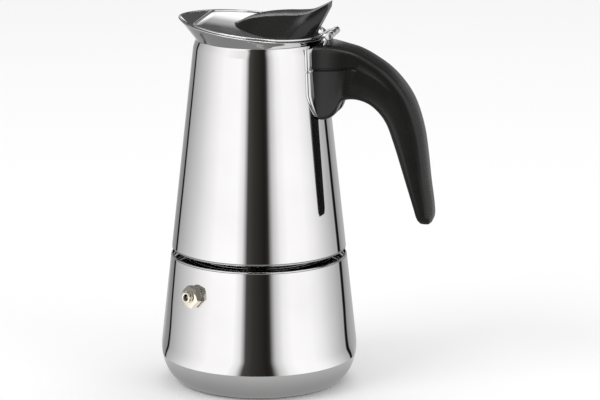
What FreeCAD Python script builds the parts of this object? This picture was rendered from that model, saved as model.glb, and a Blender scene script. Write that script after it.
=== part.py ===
import FreeCAD, Part
import math
import os
from FreeCAD import Vector

# Driving dimensions, in millimetres, unless a name says degrees.
# The pot stands on z = 0 with its axis on Z, the handle on +X and the spout on -X.

# Vessel outline
FOOT_RADIUS = 33.5
CORNER_REACH = 12.4
CORNER_HEIGHT = 17.7
TAPER = 0.1095
WALL = 0.8
BASE_THICKNESS = 1.2
EDGE_RADIUS = 1.0
SEAM_LOW = 62.1
SEAM_HIGH = 64.3
CREASE_Z = 164.0
CREASE_DRAW = 1.0
CREASE_DRAW_HEIGHT = 5.0

# Flared collar, rim and spout
RIM_RADIUS = 32.5
RIM_Z = 169.65
RIM_SLOPE = 0.105
RIM_WALL = 0.9
SPOUT_SWELL = 3.6
SPOUT_BEAK = 1.7
SPOUT_BEAK_DEGREES = 18.0
RIM_POINTS = 36

# Screwed joint between boiler and upper vessel
NECK_OUTER = 31.8
NECK_INNER = 30.6
NECK_TOP = 73.0
COLLAR_INNER = 32.2
COLLAR_OUTER = 34.5
COLLAR_BOTTOM = 65.3
FLANGE_RADIUS = 31.6

# Stack in the joint: funnel flange, gasket, filter plate, chamber floor
FUNNEL_SHEET = 0.8
GASKET_THICKNESS = 3.0
GASKET_INNER = 24.8
PLATE_SHEET = 0.6
PLATE_DISH_RADIUS = 23.4
PLATE_DISH_DEPTH = 1.2
FLANGE_TOP = NECK_TOP + FUNNEL_SHEET
GASKET_TOP = FLANGE_TOP + GASKET_THICKNESS
FLOOR_BOTTOM = GASKET_TOP + PLATE_SHEET

# Funnel
CUP_RADIUS = 26.0
CUP_BOTTOM = 54.0
STEM_RADIUS = 4.5
STEM_BORE = 3.7
STEM_TOP = 47.0
STEM_BOTTOM = 5.0
SIEVE_HOLE_RADIUS = 0.8
SIEVE_RINGS = 3
SIEVE_RING_PITCH = 6.0

# Upper vessel's inside
FLOOR_RADIUS = 38.4
HILL_RADIUS = 14.0
HILL_TOP = 90.0
COLUMN_RADIUS = 5.5
COLUMN_BORE = 4.7
COLUMN_BOTTOM = 84.0
COLUMN_TOP = 140.0
CAP_RADIUS = 6.7
CAP_BOTTOM = 133.0
CAP_TOP = 147.0
CAP_WINDOW_WIDTH = 5.0
CAP_WINDOW_HEIGHT = 3.0

# Safety valve, measured along its own axis from the boiler's outer face
VALVE_Z = 48.0
VALVE_DEGREES = 30.6
HEX_ACROSS_FLATS = 9.4
HEX_TURN_DEGREES = -12.0
HEX_START = 0.6
HEX_END = 4.1
HEX_CHAMFER = 0.4
VALVE_COLLAR_RADIUS = 3.2
VALVE_COLLAR_END = 5.1
END_RING_RADIUS = 2.7
END_RING_HOLE = 1.45
END_RING_END = 6.2
SHANK_RADIUS = 3.6
SHANK_INNER_END = -9.0
VALVE_BORE = 2.5
VALVE_SEAT = -6.0
VALVE_INLET = 1.5
WASHER_RADIUS = 4.6
WASHER_BORE = 3.7
INNER_WASHER_START = -2.3
INNER_WASHER_END = -1.3
NUT_ACROSS_FLATS = 9.4
NUT_START = -5.3
PLUNGER_HEAD_RADIUS = 2.3
PLUNGER_HEAD_END = -4.6
PLUNGER_STEM_RADIUS = 0.9
PLUNGER_TIP = 4.9
SPRING_RADIUS = 1.85
SPRING_WIRE = 0.3
SPRING_TURNS = 6
SPRING_CLEARANCE = 0.1

# Low degree, so that the loft does not swing out between its stations
HANDLE_LOFT_DEGREE = 2
# Handle: each station joins a point on its inner line to one on its outer line:
# inner x and z, outer x and z, half width, then the radii of the inner and of the outer edges,
# and by how much it is wider than that half width at the inner line and narrower at the outer
HANDLE_STATIONS = [
    (24.5, 129.4, 24.5, 164.0, 16.3, 3.0, 2.2, 1.2),
    (31.0, 129.2, 31.0, 164.1, 14.4, 3.0, 2.3, 1.2),
    (35.5, 129.5, 36.5, 163.7, 12.0, 3.2, 2.4, 0.8),
    (38.5, 131.7, 42.0, 162.7, 10.4, 4.2, 2.5, 0.4),
    (41.2, 137.0, 47.5, 161.2, 9.6, 4.2, 2.5, 0.0),
    (47.0, 138.2, 53.8, 158.2, 9.3, 3.8, 2.5, 0.0),
    (53.4, 136.4, 62.4, 152.5, 9.1, 3.8, 2.5, 0.0),
    (58.4, 132.4, 69.5, 145.0, 9.0, 3.8, 2.5, 0.0),
    (62.1, 127.1, 74.4, 136.6, 9.0, 3.8, 2.5, 0.0),
    (65.0, 119.4, 78.1, 124.9, 8.9, 3.8, 2.5, 0.0),
    (67.8, 110.7, 80.0, 113.0, 8.8, 3.8, 2.5, 0.0),
    (71.4, 99.5, 81.4, 100.2, 8.7, 3.6, 2.5, 0.0),
    (74.7, 89.2, 82.9, 89.2, 8.5, 3.2, 2.4, 0.0),
    (76.5, 83.4, 83.3, 83.2, 8.1, 2.4, 2.2, 0.0),
    (78.0, 80.9, 82.7, 80.7, 6.2, 1.5, 1.5, 0.0),
]
BRACKET_SHEET = 1.0
BRACKET_TOP = 162.8
BRACKET_BOTTOM = 131.0
BRACKET_TOP_HALF_WIDTH = 16.0
BRACKET_HALF_WIDTH = 18.2
BRACKET_WIDEST_Z = 142.0
BRACKET_BOTTOM_HALF_WIDTH = 14.2
BRACKET_BULGE = 0.9
SADDLE_OVERRUN = 5.0
SADDLE_GAP = 0.1
LUG_REACH = 44.0
LUG_HALF_WIDTH = 5.0
LUG_BOTTOM = 144.0
LUG_TOP = 146.0
SCREW_X = 38.2
SCREW_SHANK = 2.0
SCREW_HEAD = 2.8
SCREW_HEAD_BOTTOM = 137.2
SCREW_HEAD_TOP = 139.4
SCREW_END = 147.5

# Lid hinge
HINGE_X = 35.3
HINGE_Z = 167.9
BARREL_RADIUS = 1.75
BARREL_HALF_LENGTH = 8.3
KNUCKLE_HALF_LENGTH = 3.4
KNUCKLE_GAP = 0.25
PIN_RADIUS = 1.0
PIN_HEAD_RADIUS = 1.35
PIN_HEAD_LENGTH = 0.5
RUNNING_CLEARANCE = 0.05
LEG_SHEET = 1.0
LEG_X = 32.1
LEG_BOTTOM = 156.0
LEG_BEND_Z = 162.8

# Lid
LID_Z = 169.75
LID_SLOPE = 0.094
LID_INSET = 2.1
LID_SHEET = 0.8
LID_FRONT_X = -27.6
BEAD_WIDTH = 1.2
BEAD_RISE = 0.6
TONGUE_START_X = 28.0

# Leaf on the lid, in the lid's own plane: (foot x, foot half width, crest x, crest half width, crest height)
LEAF_STATIONS = [
    (-11.4, 1.2, -11.4, 0.8, 0.3),
    (-9.0, 8.0, -9.2, 4.0, 1.0),
    (-6.0, 12.0, -6.2, 5.6, 2.8),
    (-1.5, 16.6, -1.8, 6.8, 4.8),
    (4.5, 20.8, 4.4, 7.7, 6.6),
    (12.0, 22.6, 12.0, 8.0, 8.1),
    (18.5, 20.6, 19.0, 7.9, 9.1),
    (23.8, 13.8, 25.3, 6.6, 11.0),
    (27.4, 5.4, 34.6, 4.0, 17.2),
]
LEAF_DISH = 0.7
LEAF_END_X = 32.8
LEAF_SCREW_X = 8.0
LEAF_SCREW_Y = 10.0
LEAF_SCREW_SHANK = 1.3
LEAF_SCREW_HEAD = 2.5
LEAF_SCREW_HEAD_HEIGHT = 1.4
LEAF_SCREW_DEPTH = 3.2

UP = Vector(0, 0, 1)
ACROSS = Vector(0, 1, 0)


def at(radius, z):
    """Point of a turned profile, in the XZ half plane."""
    return Vector(radius, 0, z)


def line(start, end):
    return Part.LineSegment(start, end).toShape()


def chain(points):
    """Straight edges from point to point."""
    return [line(a, b) for a, b in zip(points, points[1:])]


def turn(edges):
    """Solid of revolution about Z of a closed profile."""
    return Part.Face(Part.Wire(edges)).revolve(Vector(), UP, 360)


def turned(points):
    """Solid of revolution about Z of a closed polygon of (radius, z) points."""
    corners = [at(radius, z) for radius, z in points]
    return turn(chain(corners + corners[:1]))


def tube(outer, inner, bottom, top):
    return turned([(inner, bottom), (outer, bottom), (outer, top), (inner, top)])


def rod(radius, bottom, top):
    return Part.makeCylinder(radius, top - bottom, Vector(0, 0, bottom))


def rod_across(radius, x, z, low_y, high_y):
    return Part.makeCylinder(radius, high_y - low_y, Vector(x, low_y, z), ACROSS)


def slab(corners, low_y, high_y):
    """Prism of an XZ polygon between two planes across the pot."""
    points = [Vector(x, low_y, z) for x, z in corners]
    return Part.Face(Part.makePolygon(points + points[:1])).extrude(Vector(0, high_y - low_y, 0))


def block(low, high):
    size = high - low
    return Part.makeBox(size.x, size.y, size.z, low)


def hexagon(across_flats, bottom, top, turn_degrees=0):
    corner = across_flats / math.sqrt(3)
    angles = [math.radians(60 * i + turn_degrees) for i in range(7)]
    points = [Vector(corner * math.cos(a), corner * math.sin(a), bottom) for a in angles]
    return Part.Face(Part.makePolygon(points)).extrude(Vector(0, 0, top - bottom))


# Vessel outline


def corner_end(reach, height):
    """Angle on the foot's elliptic corner where it runs along the taper."""
    return math.pi / 2 + math.atan(TAPER * height / reach)


def corner_arc(reach, height):
    centre = at(FOOT_RADIUS, CORNER_HEIGHT)
    ellipse = Part.Ellipse(centre - Vector(0, 0, height), centre + Vector(reach, 0, 0), centre)
    return Part.ArcOfEllipse(ellipse, 0, corner_end(reach, height))


def wall_radius(z, reach=CORNER_REACH, height=CORNER_HEIGHT):
    """Radius of the tapered wall above the corner."""
    end = corner_end(reach, height)
    start_radius = FOOT_RADIUS + reach * math.sin(end)
    start_z = CORNER_HEIGHT - height * math.cos(end)
    return start_radius - TAPER * (z - start_z)


def edge_arc(z, inward_z):
    """Rounded edge from the wall at height z to a flat at height inward_z."""
    side = wall_radius(z)
    centre = at(side - EDGE_RADIUS, z)
    toward_flat = math.copysign(EDGE_RADIUS, inward_z - z)
    middle = centre + Vector(EDGE_RADIUS * math.sqrt(0.5), 0, toward_flat * math.sqrt(0.5))
    return Part.Arc(at(side, z), middle, centre + Vector(0, 0, toward_flat)).toShape()


def make_boiler_shell():
    inner_reach = CORNER_REACH - WALL
    inner_height = CORNER_HEIGHT - BASE_THICKNESS
    outer = corner_arc(CORNER_REACH, CORNER_HEIGHT)
    inner = corner_arc(inner_reach, inner_height)
    shoulder_in = SEAM_LOW - WALL
    wall_top = SEAM_LOW - EDGE_RADIUS
    edges = [line(at(0, 0), at(FOOT_RADIUS, 0)), outer.toShape()]
    edges.append(line(outer.EndPoint, at(wall_radius(wall_top), wall_top)))
    edges.append(edge_arc(wall_top, SEAM_LOW))
    edges += chain([
        at(wall_radius(wall_top) - EDGE_RADIUS, SEAM_LOW),
        at(NECK_OUTER, SEAM_LOW),
        at(NECK_OUTER, NECK_TOP),
        at(NECK_INNER, NECK_TOP),
        at(NECK_INNER, shoulder_in),
        at(wall_radius(shoulder_in, inner_reach, inner_height), shoulder_in),
        inner.EndPoint,
    ])
    edges.append(inner.toShape())
    edges += chain([inner.StartPoint, at(0, BASE_THICKNESS), at(0, 0)])
    shell = turn(edges)
    return shell.cut(on_valve(rod(WASHER_BORE, -3 * WALL, 3 * WALL)))


def rim_radius(angle):
    """Plan outline of the rim: a circle that swells and then draws out to the spout's beak."""
    toward_spout = max(0.0, -math.cos(angle))
    off_spout = math.degrees(math.acos(-math.cos(angle)))
    beak = math.exp(-((off_spout / SPOUT_BEAK_DEGREES) ** 2))
    return RIM_RADIUS + SPOUT_SWELL * toward_spout ** 2 + SPOUT_BEAK * beak


def crease_radius():
    """Radius where the wall, drawn in a little at its top, meets the flared collar."""
    return wall_radius(CREASE_Z) - CREASE_DRAW


def drawn_top(inset):
    """Curve from the straight taper to the crease, drawn in by inset."""
    start_z = CREASE_Z - CREASE_DRAW_HEIGHT
    middle_z = CREASE_Z - CREASE_DRAW_HEIGHT / 2
    start = at(wall_radius(start_z) - inset, start_z)
    middle = at(wall_radius(middle_z) - CREASE_DRAW / 4 - inset, middle_z)
    end = at(crease_radius() - inset, CREASE_Z)
    return Part.Arc(start, middle, end)


def rim_wire(inset):
    """Closed rim outline, drawn in by inset, in the rim's tilted plane."""
    points = []
    for i in range(RIM_POINTS):
        angle = 2 * math.pi * i / RIM_POINTS
        radius = rim_radius(angle) - inset
        x = radius * math.cos(angle)
        points.append(Vector(x, radius * math.sin(angle), RIM_Z - RIM_SLOPE * x))
    curve = Part.BSplineCurve()
    curve.interpolate(points, PeriodicFlag=True)
    return Part.Wire(curve.toShape())


def flare(inset):
    """Solid from the crease circle up to the rim outline."""
    crease = Part.Circle(Vector(0, 0, CREASE_Z), UP, crease_radius() - inset).toShape()
    return Part.makeLoft([Part.Wire(crease), rim_wire(inset)], True, True)


def make_chamber_shell():
    wall_bottom = SEAM_HIGH + EDGE_RADIUS
    flange_top = SEAM_HIGH + WALL
    lip = COLLAR_OUTER + SADDLE_GAP
    outer_top = drawn_top(0)
    inner_top = drawn_top(RIM_WALL)
    edges = [edge_arc(wall_bottom, SEAM_HIGH)]
    edges += chain([
        at(wall_radius(wall_bottom) - EDGE_RADIUS, SEAM_HIGH),
        at(lip, SEAM_HIGH),
        at(lip, flange_top),
        at(wall_radius(flange_top) - RIM_WALL, flange_top),
        inner_top.StartPoint,
    ])
    edges.append(inner_top.toShape())
    edges.append(line(inner_top.EndPoint, outer_top.EndPoint))
    edges.append(outer_top.toShape())
    edges.append(line(outer_top.StartPoint, at(wall_radius(wall_bottom), wall_bottom)))
    collar = flare(0).cut(flare(RIM_WALL))
    return turn(edges).fuse(collar).removeSplitter()


# Screwed joint


def make_thread_collar():
    return tube(COLLAR_OUTER, COLLAR_INNER, COLLAR_BOTTOM, FLOOR_BOTTOM)


def make_gasket():
    return tube(FLANGE_RADIUS, GASKET_INNER, FLANGE_TOP, GASKET_TOP)


def hole_pattern(radius, bottom, top):
    """Round holes on rings about the axis, six more on each ring."""
    holes = [rod(radius, bottom, top)]
    for ring in range(1, SIEVE_RINGS + 1):
        count = 6 * ring
        for i in range(count):
            hole = rod(radius, bottom, top)
            angle = 2 * math.pi * i / count
            reach = ring * SIEVE_RING_PITCH
            hole.translate(Vector(reach * math.cos(angle), reach * math.sin(angle), 0))
            holes.append(hole)
    return holes


def make_filter_plate():
    low = GASKET_TOP - PLATE_DISH_DEPTH
    rim_inner = PLATE_DISH_RADIUS + PLATE_DISH_DEPTH
    plate = turned([
        (0, low),
        (PLATE_DISH_RADIUS, low),
        (rim_inner, GASKET_TOP),
        (FLANGE_RADIUS, GASKET_TOP),
        (FLANGE_RADIUS, FLOOR_BOTTOM),
        (rim_inner - PLATE_SHEET / 2, FLOOR_BOTTOM),
        (PLATE_DISH_RADIUS - PLATE_SHEET / 2, low + PLATE_SHEET),
        (0, low + PLATE_SHEET),
    ])
    return plate.cut(hole_pattern(SIEVE_HOLE_RADIUS, low - 1, FLOOR_BOTTOM + 1))


# Funnel


def make_funnel_cup():
    inner = CUP_RADIUS - FUNNEL_SHEET
    neck = STEM_RADIUS + SADDLE_GAP
    return turned([
        (inner, FLANGE_TOP),
        (FLANGE_RADIUS, FLANGE_TOP),
        (FLANGE_RADIUS, NECK_TOP),
        (CUP_RADIUS, NECK_TOP),
        (CUP_RADIUS, CUP_BOTTOM),
        (neck + FUNNEL_SHEET, STEM_TOP),
        (neck, STEM_TOP),
        (neck, STEM_TOP + FUNNEL_SHEET),
        (inner, CUP_BOTTOM + FUNNEL_SHEET),
    ])


def make_funnel_stem():
    return tube(STEM_RADIUS, STEM_BORE, STEM_BOTTOM, STEM_TOP + FUNNEL_SHEET)


def make_funnel_sieve():
    bottom = CUP_BOTTOM + FUNNEL_SHEET
    radius = CUP_RADIUS - FUNNEL_SHEET - SADDLE_GAP
    disc = rod(radius, bottom, bottom + PLATE_SHEET)
    return disc.cut(hole_pattern(SIEVE_HOLE_RADIUS, bottom - 1, bottom + PLATE_SHEET + 1))


# Upper vessel's inside


def make_chamber_floor():
    top = FLOOR_BOTTOM + WALL
    hole = COLUMN_RADIUS + SADDLE_GAP
    return turned([
        (HILL_RADIUS - WALL, FLOOR_BOTTOM),
        (FLOOR_RADIUS, FLOOR_BOTTOM),
        (FLOOR_RADIUS, top),
        (HILL_RADIUS, top),
        (hole + WALL, HILL_TOP),
        (hole, HILL_TOP),
        (hole, HILL_TOP - WALL),
    ])


def make_column():
    return tube(COLUMN_RADIUS, COLUMN_BORE, COLUMN_BOTTOM, COLUMN_TOP)


def make_column_cap():
    bore = COLUMN_RADIUS + SADDLE_GAP
    dome = CAP_RADIUS / 2
    profile = chain([
        at(bore, CAP_BOTTOM),
        at(CAP_RADIUS, CAP_BOTTOM),
        at(CAP_RADIUS, CAP_TOP - dome),
    ])
    ceiling = CAP_TOP - dome
    ball = (CAP_RADIUS ** 2 + dome ** 2) / (2 * dome)
    half_way = math.asin(CAP_RADIUS / ball) / 2
    middle = at(ball * math.sin(half_way), CAP_TOP - ball * (1 - math.cos(half_way)))
    profile.append(Part.Arc(at(CAP_RADIUS, ceiling), middle, at(0, CAP_TOP)).toShape())
    profile += chain([at(0, CAP_TOP), at(0, ceiling), at(bore, ceiling), at(bore, CAP_BOTTOM)])
    window_low = Vector(-2 * CAP_RADIUS, -CAP_WINDOW_WIDTH / 2, COLUMN_TOP)
    window_high = Vector(2 * CAP_RADIUS, CAP_WINDOW_WIDTH / 2, COLUMN_TOP + CAP_WINDOW_HEIGHT)
    return turn(profile).cut(block(window_low, window_high))


# Safety valve, drawn along Z and then set square on the boiler wall


def on_valve(shape):
    angle = math.radians(VALVE_DEGREES)
    tilt = math.atan(TAPER)
    level = Vector(-math.sin(angle), -math.cos(angle), 0)
    axis = level * math.cos(tilt) + UP * math.sin(tilt)
    sideways = level.cross(UP)
    turned_to = FreeCAD.Rotation(sideways, axis.cross(sideways), axis, "ZXY")
    start = level * wall_radius(VALVE_Z) + UP * VALVE_Z
    placed = shape.copy()
    placed.Placement = FreeCAD.Placement(start, turned_to).multiply(placed.Placement)
    return placed


def make_valve_body():
    hexagon_head = hexagon(HEX_ACROSS_FLATS, HEX_START, HEX_END, HEX_TURN_DEGREES)
    corner = HEX_ACROSS_FLATS / math.sqrt(3)
    chamfer = turned([
        (0, HEX_START),
        (corner, HEX_START),
        (corner, HEX_END - HEX_CHAMFER),
        (corner - 2 * HEX_CHAMFER, HEX_END),
        (0, HEX_END),
    ])
    body = hexagon_head.common(chamfer)
    body = body.fuse(rod(SHANK_RADIUS, SHANK_INNER_END, HEX_START))
    body = body.fuse(rod(VALVE_COLLAR_RADIUS, HEX_END, VALVE_COLLAR_END))
    body = body.cut(rod(VALVE_BORE, VALVE_SEAT, VALVE_COLLAR_END))
    body = body.cut(rod(VALVE_INLET, SHANK_INNER_END, VALVE_SEAT))
    return on_valve(body.removeSplitter())


def make_valve_end_ring():
    return on_valve(tube(END_RING_RADIUS, END_RING_HOLE, VALVE_COLLAR_END, END_RING_END))


def make_valve_outer_washer():
    washer = on_valve(tube(WASHER_RADIUS, WASHER_BORE, -WALL / 2, HEX_START))
    clear = wall_radius(0) + SADDLE_GAP / 2
    cone = Part.makeCone(clear, clear - TAPER * SEAM_LOW, SEAM_LOW)
    return washer.cut(cone)


def make_valve_inner_washer():
    return on_valve(tube(WASHER_RADIUS, WASHER_BORE, INNER_WASHER_START, INNER_WASHER_END))


def make_valve_lock_nut():
    nut = hexagon(NUT_ACROSS_FLATS, NUT_START, INNER_WASHER_START)
    return on_valve(nut.cut(rod(WASHER_BORE, NUT_START, INNER_WASHER_START)))


def make_valve_plunger():
    head = rod(PLUNGER_HEAD_RADIUS, VALVE_SEAT, PLUNGER_HEAD_END)
    stem = rod(PLUNGER_STEM_RADIUS, PLUNGER_HEAD_END, PLUNGER_TIP)
    return on_valve(head.fuse(stem).removeSplitter())


def arc_by_corner(start, corner, end):
    """Arc tangent to both legs of an equal-legged corner."""
    half_chord = (end - start).Length / 2
    lean = math.acos(min(1.0, half_chord / (corner - start).Length))
    middle = (start + end) * 0.5
    rise = (corner - middle).normalize() * (half_chord * math.tan(lean / 2))
    return Part.Arc(start, middle + rise, end).toShape()


def biarc(start, start_way, end, end_way):
    """Two arcs that leave start along start_way and reach end along end_way."""
    span = end - start
    both = start_way + end_way
    bend = 2 * (1 - start_way.dot(end_way))
    lead = span.dot(both)
    leg = (math.sqrt(lead * lead + bend * span.dot(span)) - lead) / bend
    first = start + start_way * leg
    second = end - end_way * leg
    joint = (first + second) * 0.5
    return [arc_by_corner(start, first, joint), arc_by_corner(joint, second, end)]


def make_valve_spring():
    bottom = PLUNGER_HEAD_END + SPRING_WIRE + SPRING_CLEARANCE
    top = VALVE_COLLAR_END - SPRING_WIRE - SPRING_CLEARANCE
    pitch = (top - bottom) / SPRING_TURNS
    print("valve spring: least gap between turns %.2f mm" % (pitch - 2 * SPRING_WIRE))
    climb = pitch / (2 * math.pi)
    quarters = 4 * SPRING_TURNS
    points = []
    ways = []
    for i in range(quarters + 1):
        angle = math.pi / 2 * i
        out = Vector(math.cos(angle), math.sin(angle), 0)
        points.append(out * SPRING_RADIUS + UP * (bottom + climb * angle))
        ways.append((UP.cross(out) * SPRING_RADIUS + UP * climb).normalize())
    edges = []
    for i in range(quarters):
        edges += biarc(points[i], ways[i], points[i + 1], ways[i + 1])
    section = Part.Wire(Part.Circle(points[0], ways[0], SPRING_WIRE).toShape())
    return on_valve(Part.Wire(edges).makePipeShell([section], True, False))


# Handle and its fastening


def saddle(gap):
    """Solid of the vessel's taper, grown by gap, over the height of the handle."""
    low = BRACKET_BOTTOM - SADDLE_OVERRUN
    high = HINGE_Z
    return Part.makeCone(wall_radius(low) + gap, wall_radius(high) + gap, high - low, Vector(0, 0, low))


def handle_section(inner_x, inner_z, outer_x, outer_z, half_width, inner_round, outer_round, taper):
    """Oblong across the handle with rounded corners, inner corners first."""
    inner = at(inner_x, inner_z)
    outer = at(outer_x, outer_z)
    inner_side = ACROSS * (half_width + taper)
    outer_side = ACROSS * (half_width - taper)
    corners = [inner - inner_side, inner + inner_side, outer + outer_side, outer - outer_side]
    rounds = [inner_round, inner_round, outer_round, outer_round]
    arcs = []
    for i, (corner, radius) in enumerate(zip(corners, rounds)):
        arriving = (corners[i - 1] - corner).normalize()
        leaving = (corners[(i + 1) % 4] - corner).normalize()
        lean = (leaving + arriving) * (radius * (1 - math.sqrt(0.5)))
        arcs.append(Part.Arc(corner + arriving * radius, corner + lean, corner + leaving * radius))
    edges = []
    for arc, following in zip(arcs, arcs[1:] + arcs[:1]):
        edges.append(arc.toShape())
        edges.append(line(arc.EndPoint, following.StartPoint))
    return Part.Wire(edges)


def make_handle():
    sections = [handle_section(*station) for station in HANDLE_STATIONS]
    handle = Part.makeLoft(sections, True, False, False, HANDLE_LOFT_DEGREE)
    handle = handle.cut(saddle(BRACKET_SHEET + 2 * SADDLE_GAP))
    lug_low = Vector(0, -LUG_HALF_WIDTH - SADDLE_GAP, LUG_BOTTOM - SADDLE_GAP)
    lug_high = Vector(LUG_REACH + SADDLE_GAP, LUG_HALF_WIDTH + SADDLE_GAP, LUG_TOP + SADDLE_GAP)
    handle = handle.cut(block(lug_low, lug_high))
    pocket_x = LEG_X + 1.5 * LEG_SHEET
    pocket_half = BARREL_HALF_LENGTH + SADDLE_GAP
    leg_pocket = slab([
        (0, LEG_BOTTOM - SADDLE_GAP),
        (pocket_x, LEG_BOTTOM - SADDLE_GAP),
        (pocket_x, LEG_BEND_Z),
        (HINGE_X + LEG_SHEET / 2, HINGE_Z - BARREL_RADIUS),
        (0, HINGE_Z - BARREL_RADIUS),
    ], -pocket_half, pocket_half)
    handle = handle.cut(leg_pocket)
    well = rod(SCREW_HEAD + SADDLE_GAP, BRACKET_BOTTOM - SADDLE_OVERRUN, SCREW_HEAD_TOP)
    hole = rod(SCREW_SHANK + SADDLE_GAP, SCREW_HEAD_TOP, SCREW_END + 1)
    for bore in (well, hole):
        bore.translate(Vector(SCREW_X, 0, 0))
        handle = handle.cut(bore)
    return handle


def make_handle_bracket():
    sheet = saddle(BRACKET_SHEET + SADDLE_GAP).cut(saddle(SADDLE_GAP))
    reach = wall_radius(BRACKET_BOTTOM) + 2 * BRACKET_SHEET
    middle_half = (BRACKET_HALF_WIDTH + BRACKET_BOTTOM_HALF_WIDTH) / 2 + BRACKET_BULGE
    middle_z = (BRACKET_WIDEST_Z + BRACKET_BOTTOM) / 2
    edges = []
    for side in (-1, 1):
        top = Vector(0, side * BRACKET_TOP_HALF_WIDTH, BRACKET_TOP)
        widest = Vector(0, side * BRACKET_HALF_WIDTH, BRACKET_WIDEST_Z)
        bottom = Vector(0, side * BRACKET_BOTTOM_HALF_WIDTH, BRACKET_BOTTOM)
        edges.append(line(top, widest))
        edges.append(Part.Arc(widest, Vector(0, side * middle_half, middle_z), bottom).toShape())
    for half, z in ((BRACKET_TOP_HALF_WIDTH, BRACKET_TOP), (BRACKET_BOTTOM_HALF_WIDTH, BRACKET_BOTTOM)):
        edges.append(line(Vector(0, -half, z), Vector(0, half, z)))
    outline = Part.Wire(Part.sortEdges(edges)[0])
    window = Part.Face(outline).extrude(Vector(reach, 0, 0))
    bracket = sheet.common(window)
    lug_low = Vector(wall_radius(LUG_TOP) + BRACKET_SHEET / 2, -LUG_HALF_WIDTH, LUG_BOTTOM)
    bracket = bracket.fuse(block(lug_low, Vector(LUG_REACH, LUG_HALF_WIDTH, LUG_TOP)))
    hole = rod(SCREW_SHANK + SADDLE_GAP / 2, LUG_BOTTOM - 1, LUG_TOP + 1)
    hole.translate(Vector(SCREW_X, 0, 0))
    return bracket.cut(hole).removeSplitter()


def make_handle_screw():
    screw = rod(SCREW_HEAD, SCREW_HEAD_BOTTOM, SCREW_HEAD_TOP)
    screw = screw.fuse(rod(SCREW_SHANK, SCREW_HEAD_TOP, SCREW_END)).removeSplitter()
    slot_depth = (SCREW_HEAD_TOP - SCREW_HEAD_BOTTOM) / 2
    slot_low = Vector(-SCREW_HEAD, -slot_depth / 3, SCREW_HEAD_BOTTOM)
    screw = screw.cut(block(slot_low, Vector(SCREW_HEAD, slot_depth / 3, SCREW_HEAD_BOTTOM + slot_depth)))
    screw.translate(Vector(SCREW_X, 0, 0))
    return screw


# Hinge


def make_hinge_bracket():
    middle = KNUCKLE_HALF_LENGTH + KNUCKLE_GAP
    leg = slab([
        (LEG_X, LEG_BOTTOM),
        (LEG_X + LEG_SHEET, LEG_BOTTOM),
        (LEG_X + LEG_SHEET, LEG_BEND_Z),
        (HINGE_X, HINGE_Z - BARREL_RADIUS),
        (HINGE_X - BARREL_RADIUS / 2, HINGE_Z),
        (LEG_X, LEG_BEND_Z + LEG_SHEET / 2),
    ], -BARREL_HALF_LENGTH, BARREL_HALF_LENGTH)
    leg = leg.cut(rod_across(BARREL_RADIUS + 2 * KNUCKLE_GAP, HINGE_X, HINGE_Z, -middle, middle))
    bracket = leg
    for low in (-BARREL_HALF_LENGTH, middle):
        high = low + BARREL_HALF_LENGTH - middle
        bracket = bracket.fuse(rod_across(BARREL_RADIUS, HINGE_X, HINGE_Z, low, high))
    bore = PIN_RADIUS + RUNNING_CLEARANCE / 2
    bore_rod = rod_across(bore, HINGE_X, HINGE_Z, -2 * BARREL_HALF_LENGTH, 2 * BARREL_HALF_LENGTH)
    return bracket.cut(bore_rod).removeSplitter()


def make_hinge_pin():
    pin = rod_across(PIN_RADIUS, HINGE_X, HINGE_Z, -BARREL_HALF_LENGTH, BARREL_HALF_LENGTH)
    for low in (-BARREL_HALF_LENGTH - PIN_HEAD_LENGTH, BARREL_HALF_LENGTH):
        pin = pin.fuse(rod_across(PIN_HEAD_RADIUS, HINGE_X, HINGE_Z, low, low + PIN_HEAD_LENGTH))
    return pin.removeSplitter()


# Lid, drawn flat and then tilted


def on_lid(shape):
    placed = shape.copy()
    tilt = FreeCAD.Rotation(ACROSS, math.degrees(math.atan(LID_SLOPE)))
    placed.Placement = FreeCAD.Placement(Vector(0, 0, LID_Z), tilt).multiply(placed.Placement)
    return placed


def lid_prism(inset, bottom, top):
    """Lid outline inside the rim, cut straight at the spout, between two heights."""
    points = []
    for i in range(RIM_POINTS):
        angle = 2 * math.pi * i / RIM_POINTS
        radius = rim_radius(angle) - LID_INSET - inset
        points.append(Vector(radius * math.cos(angle), radius * math.sin(angle), bottom))
    curve = Part.BSplineCurve()
    curve.interpolate(points, PeriodicFlag=True)
    prism = Part.Face(Part.Wire(curve.toShape())).extrude(Vector(0, 0, top - bottom))
    beyond = 2 * RIM_RADIUS
    keep = block(Vector(LID_FRONT_X + inset, -beyond, bottom - 1), Vector(beyond, beyond, top + 1))
    return prism.common(keep)


def make_lid_shell():
    bead = lid_prism(0, -LID_SHEET, BEAD_RISE).cut(lid_prism(BEAD_WIDTH, -LID_SHEET, BEAD_RISE))
    lid = on_lid(bead.fuse(lid_prism(BEAD_WIDTH / 2, -LID_SHEET, 0)).removeSplitter())
    start_z = LID_Z - LID_SLOPE * TONGUE_START_X
    tongue = slab([
        (TONGUE_START_X, start_z - LID_SHEET),
        (HINGE_X, HINGE_Z + BARREL_RADIUS - LID_SHEET),
        (HINGE_X, HINGE_Z + BARREL_RADIUS),
        (TONGUE_START_X, start_z),
    ], -KNUCKLE_HALF_LENGTH, KNUCKLE_HALF_LENGTH)
    knuckle = rod_across(BARREL_RADIUS, HINGE_X, HINGE_Z, -KNUCKLE_HALF_LENGTH, KNUCKLE_HALF_LENGTH)
    lid = lid.fuse([tongue, knuckle])
    bore = PIN_RADIUS + RUNNING_CLEARANCE
    lid = lid.cut(rod_across(bore, HINGE_X, HINGE_Z, -BARREL_HALF_LENGTH, BARREL_HALF_LENGTH))
    for side in (-1, 1):
        lid = lid.cut(on_lid(leaf_screw(side, SADDLE_GAP)))
    return lid.removeSplitter()


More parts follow.
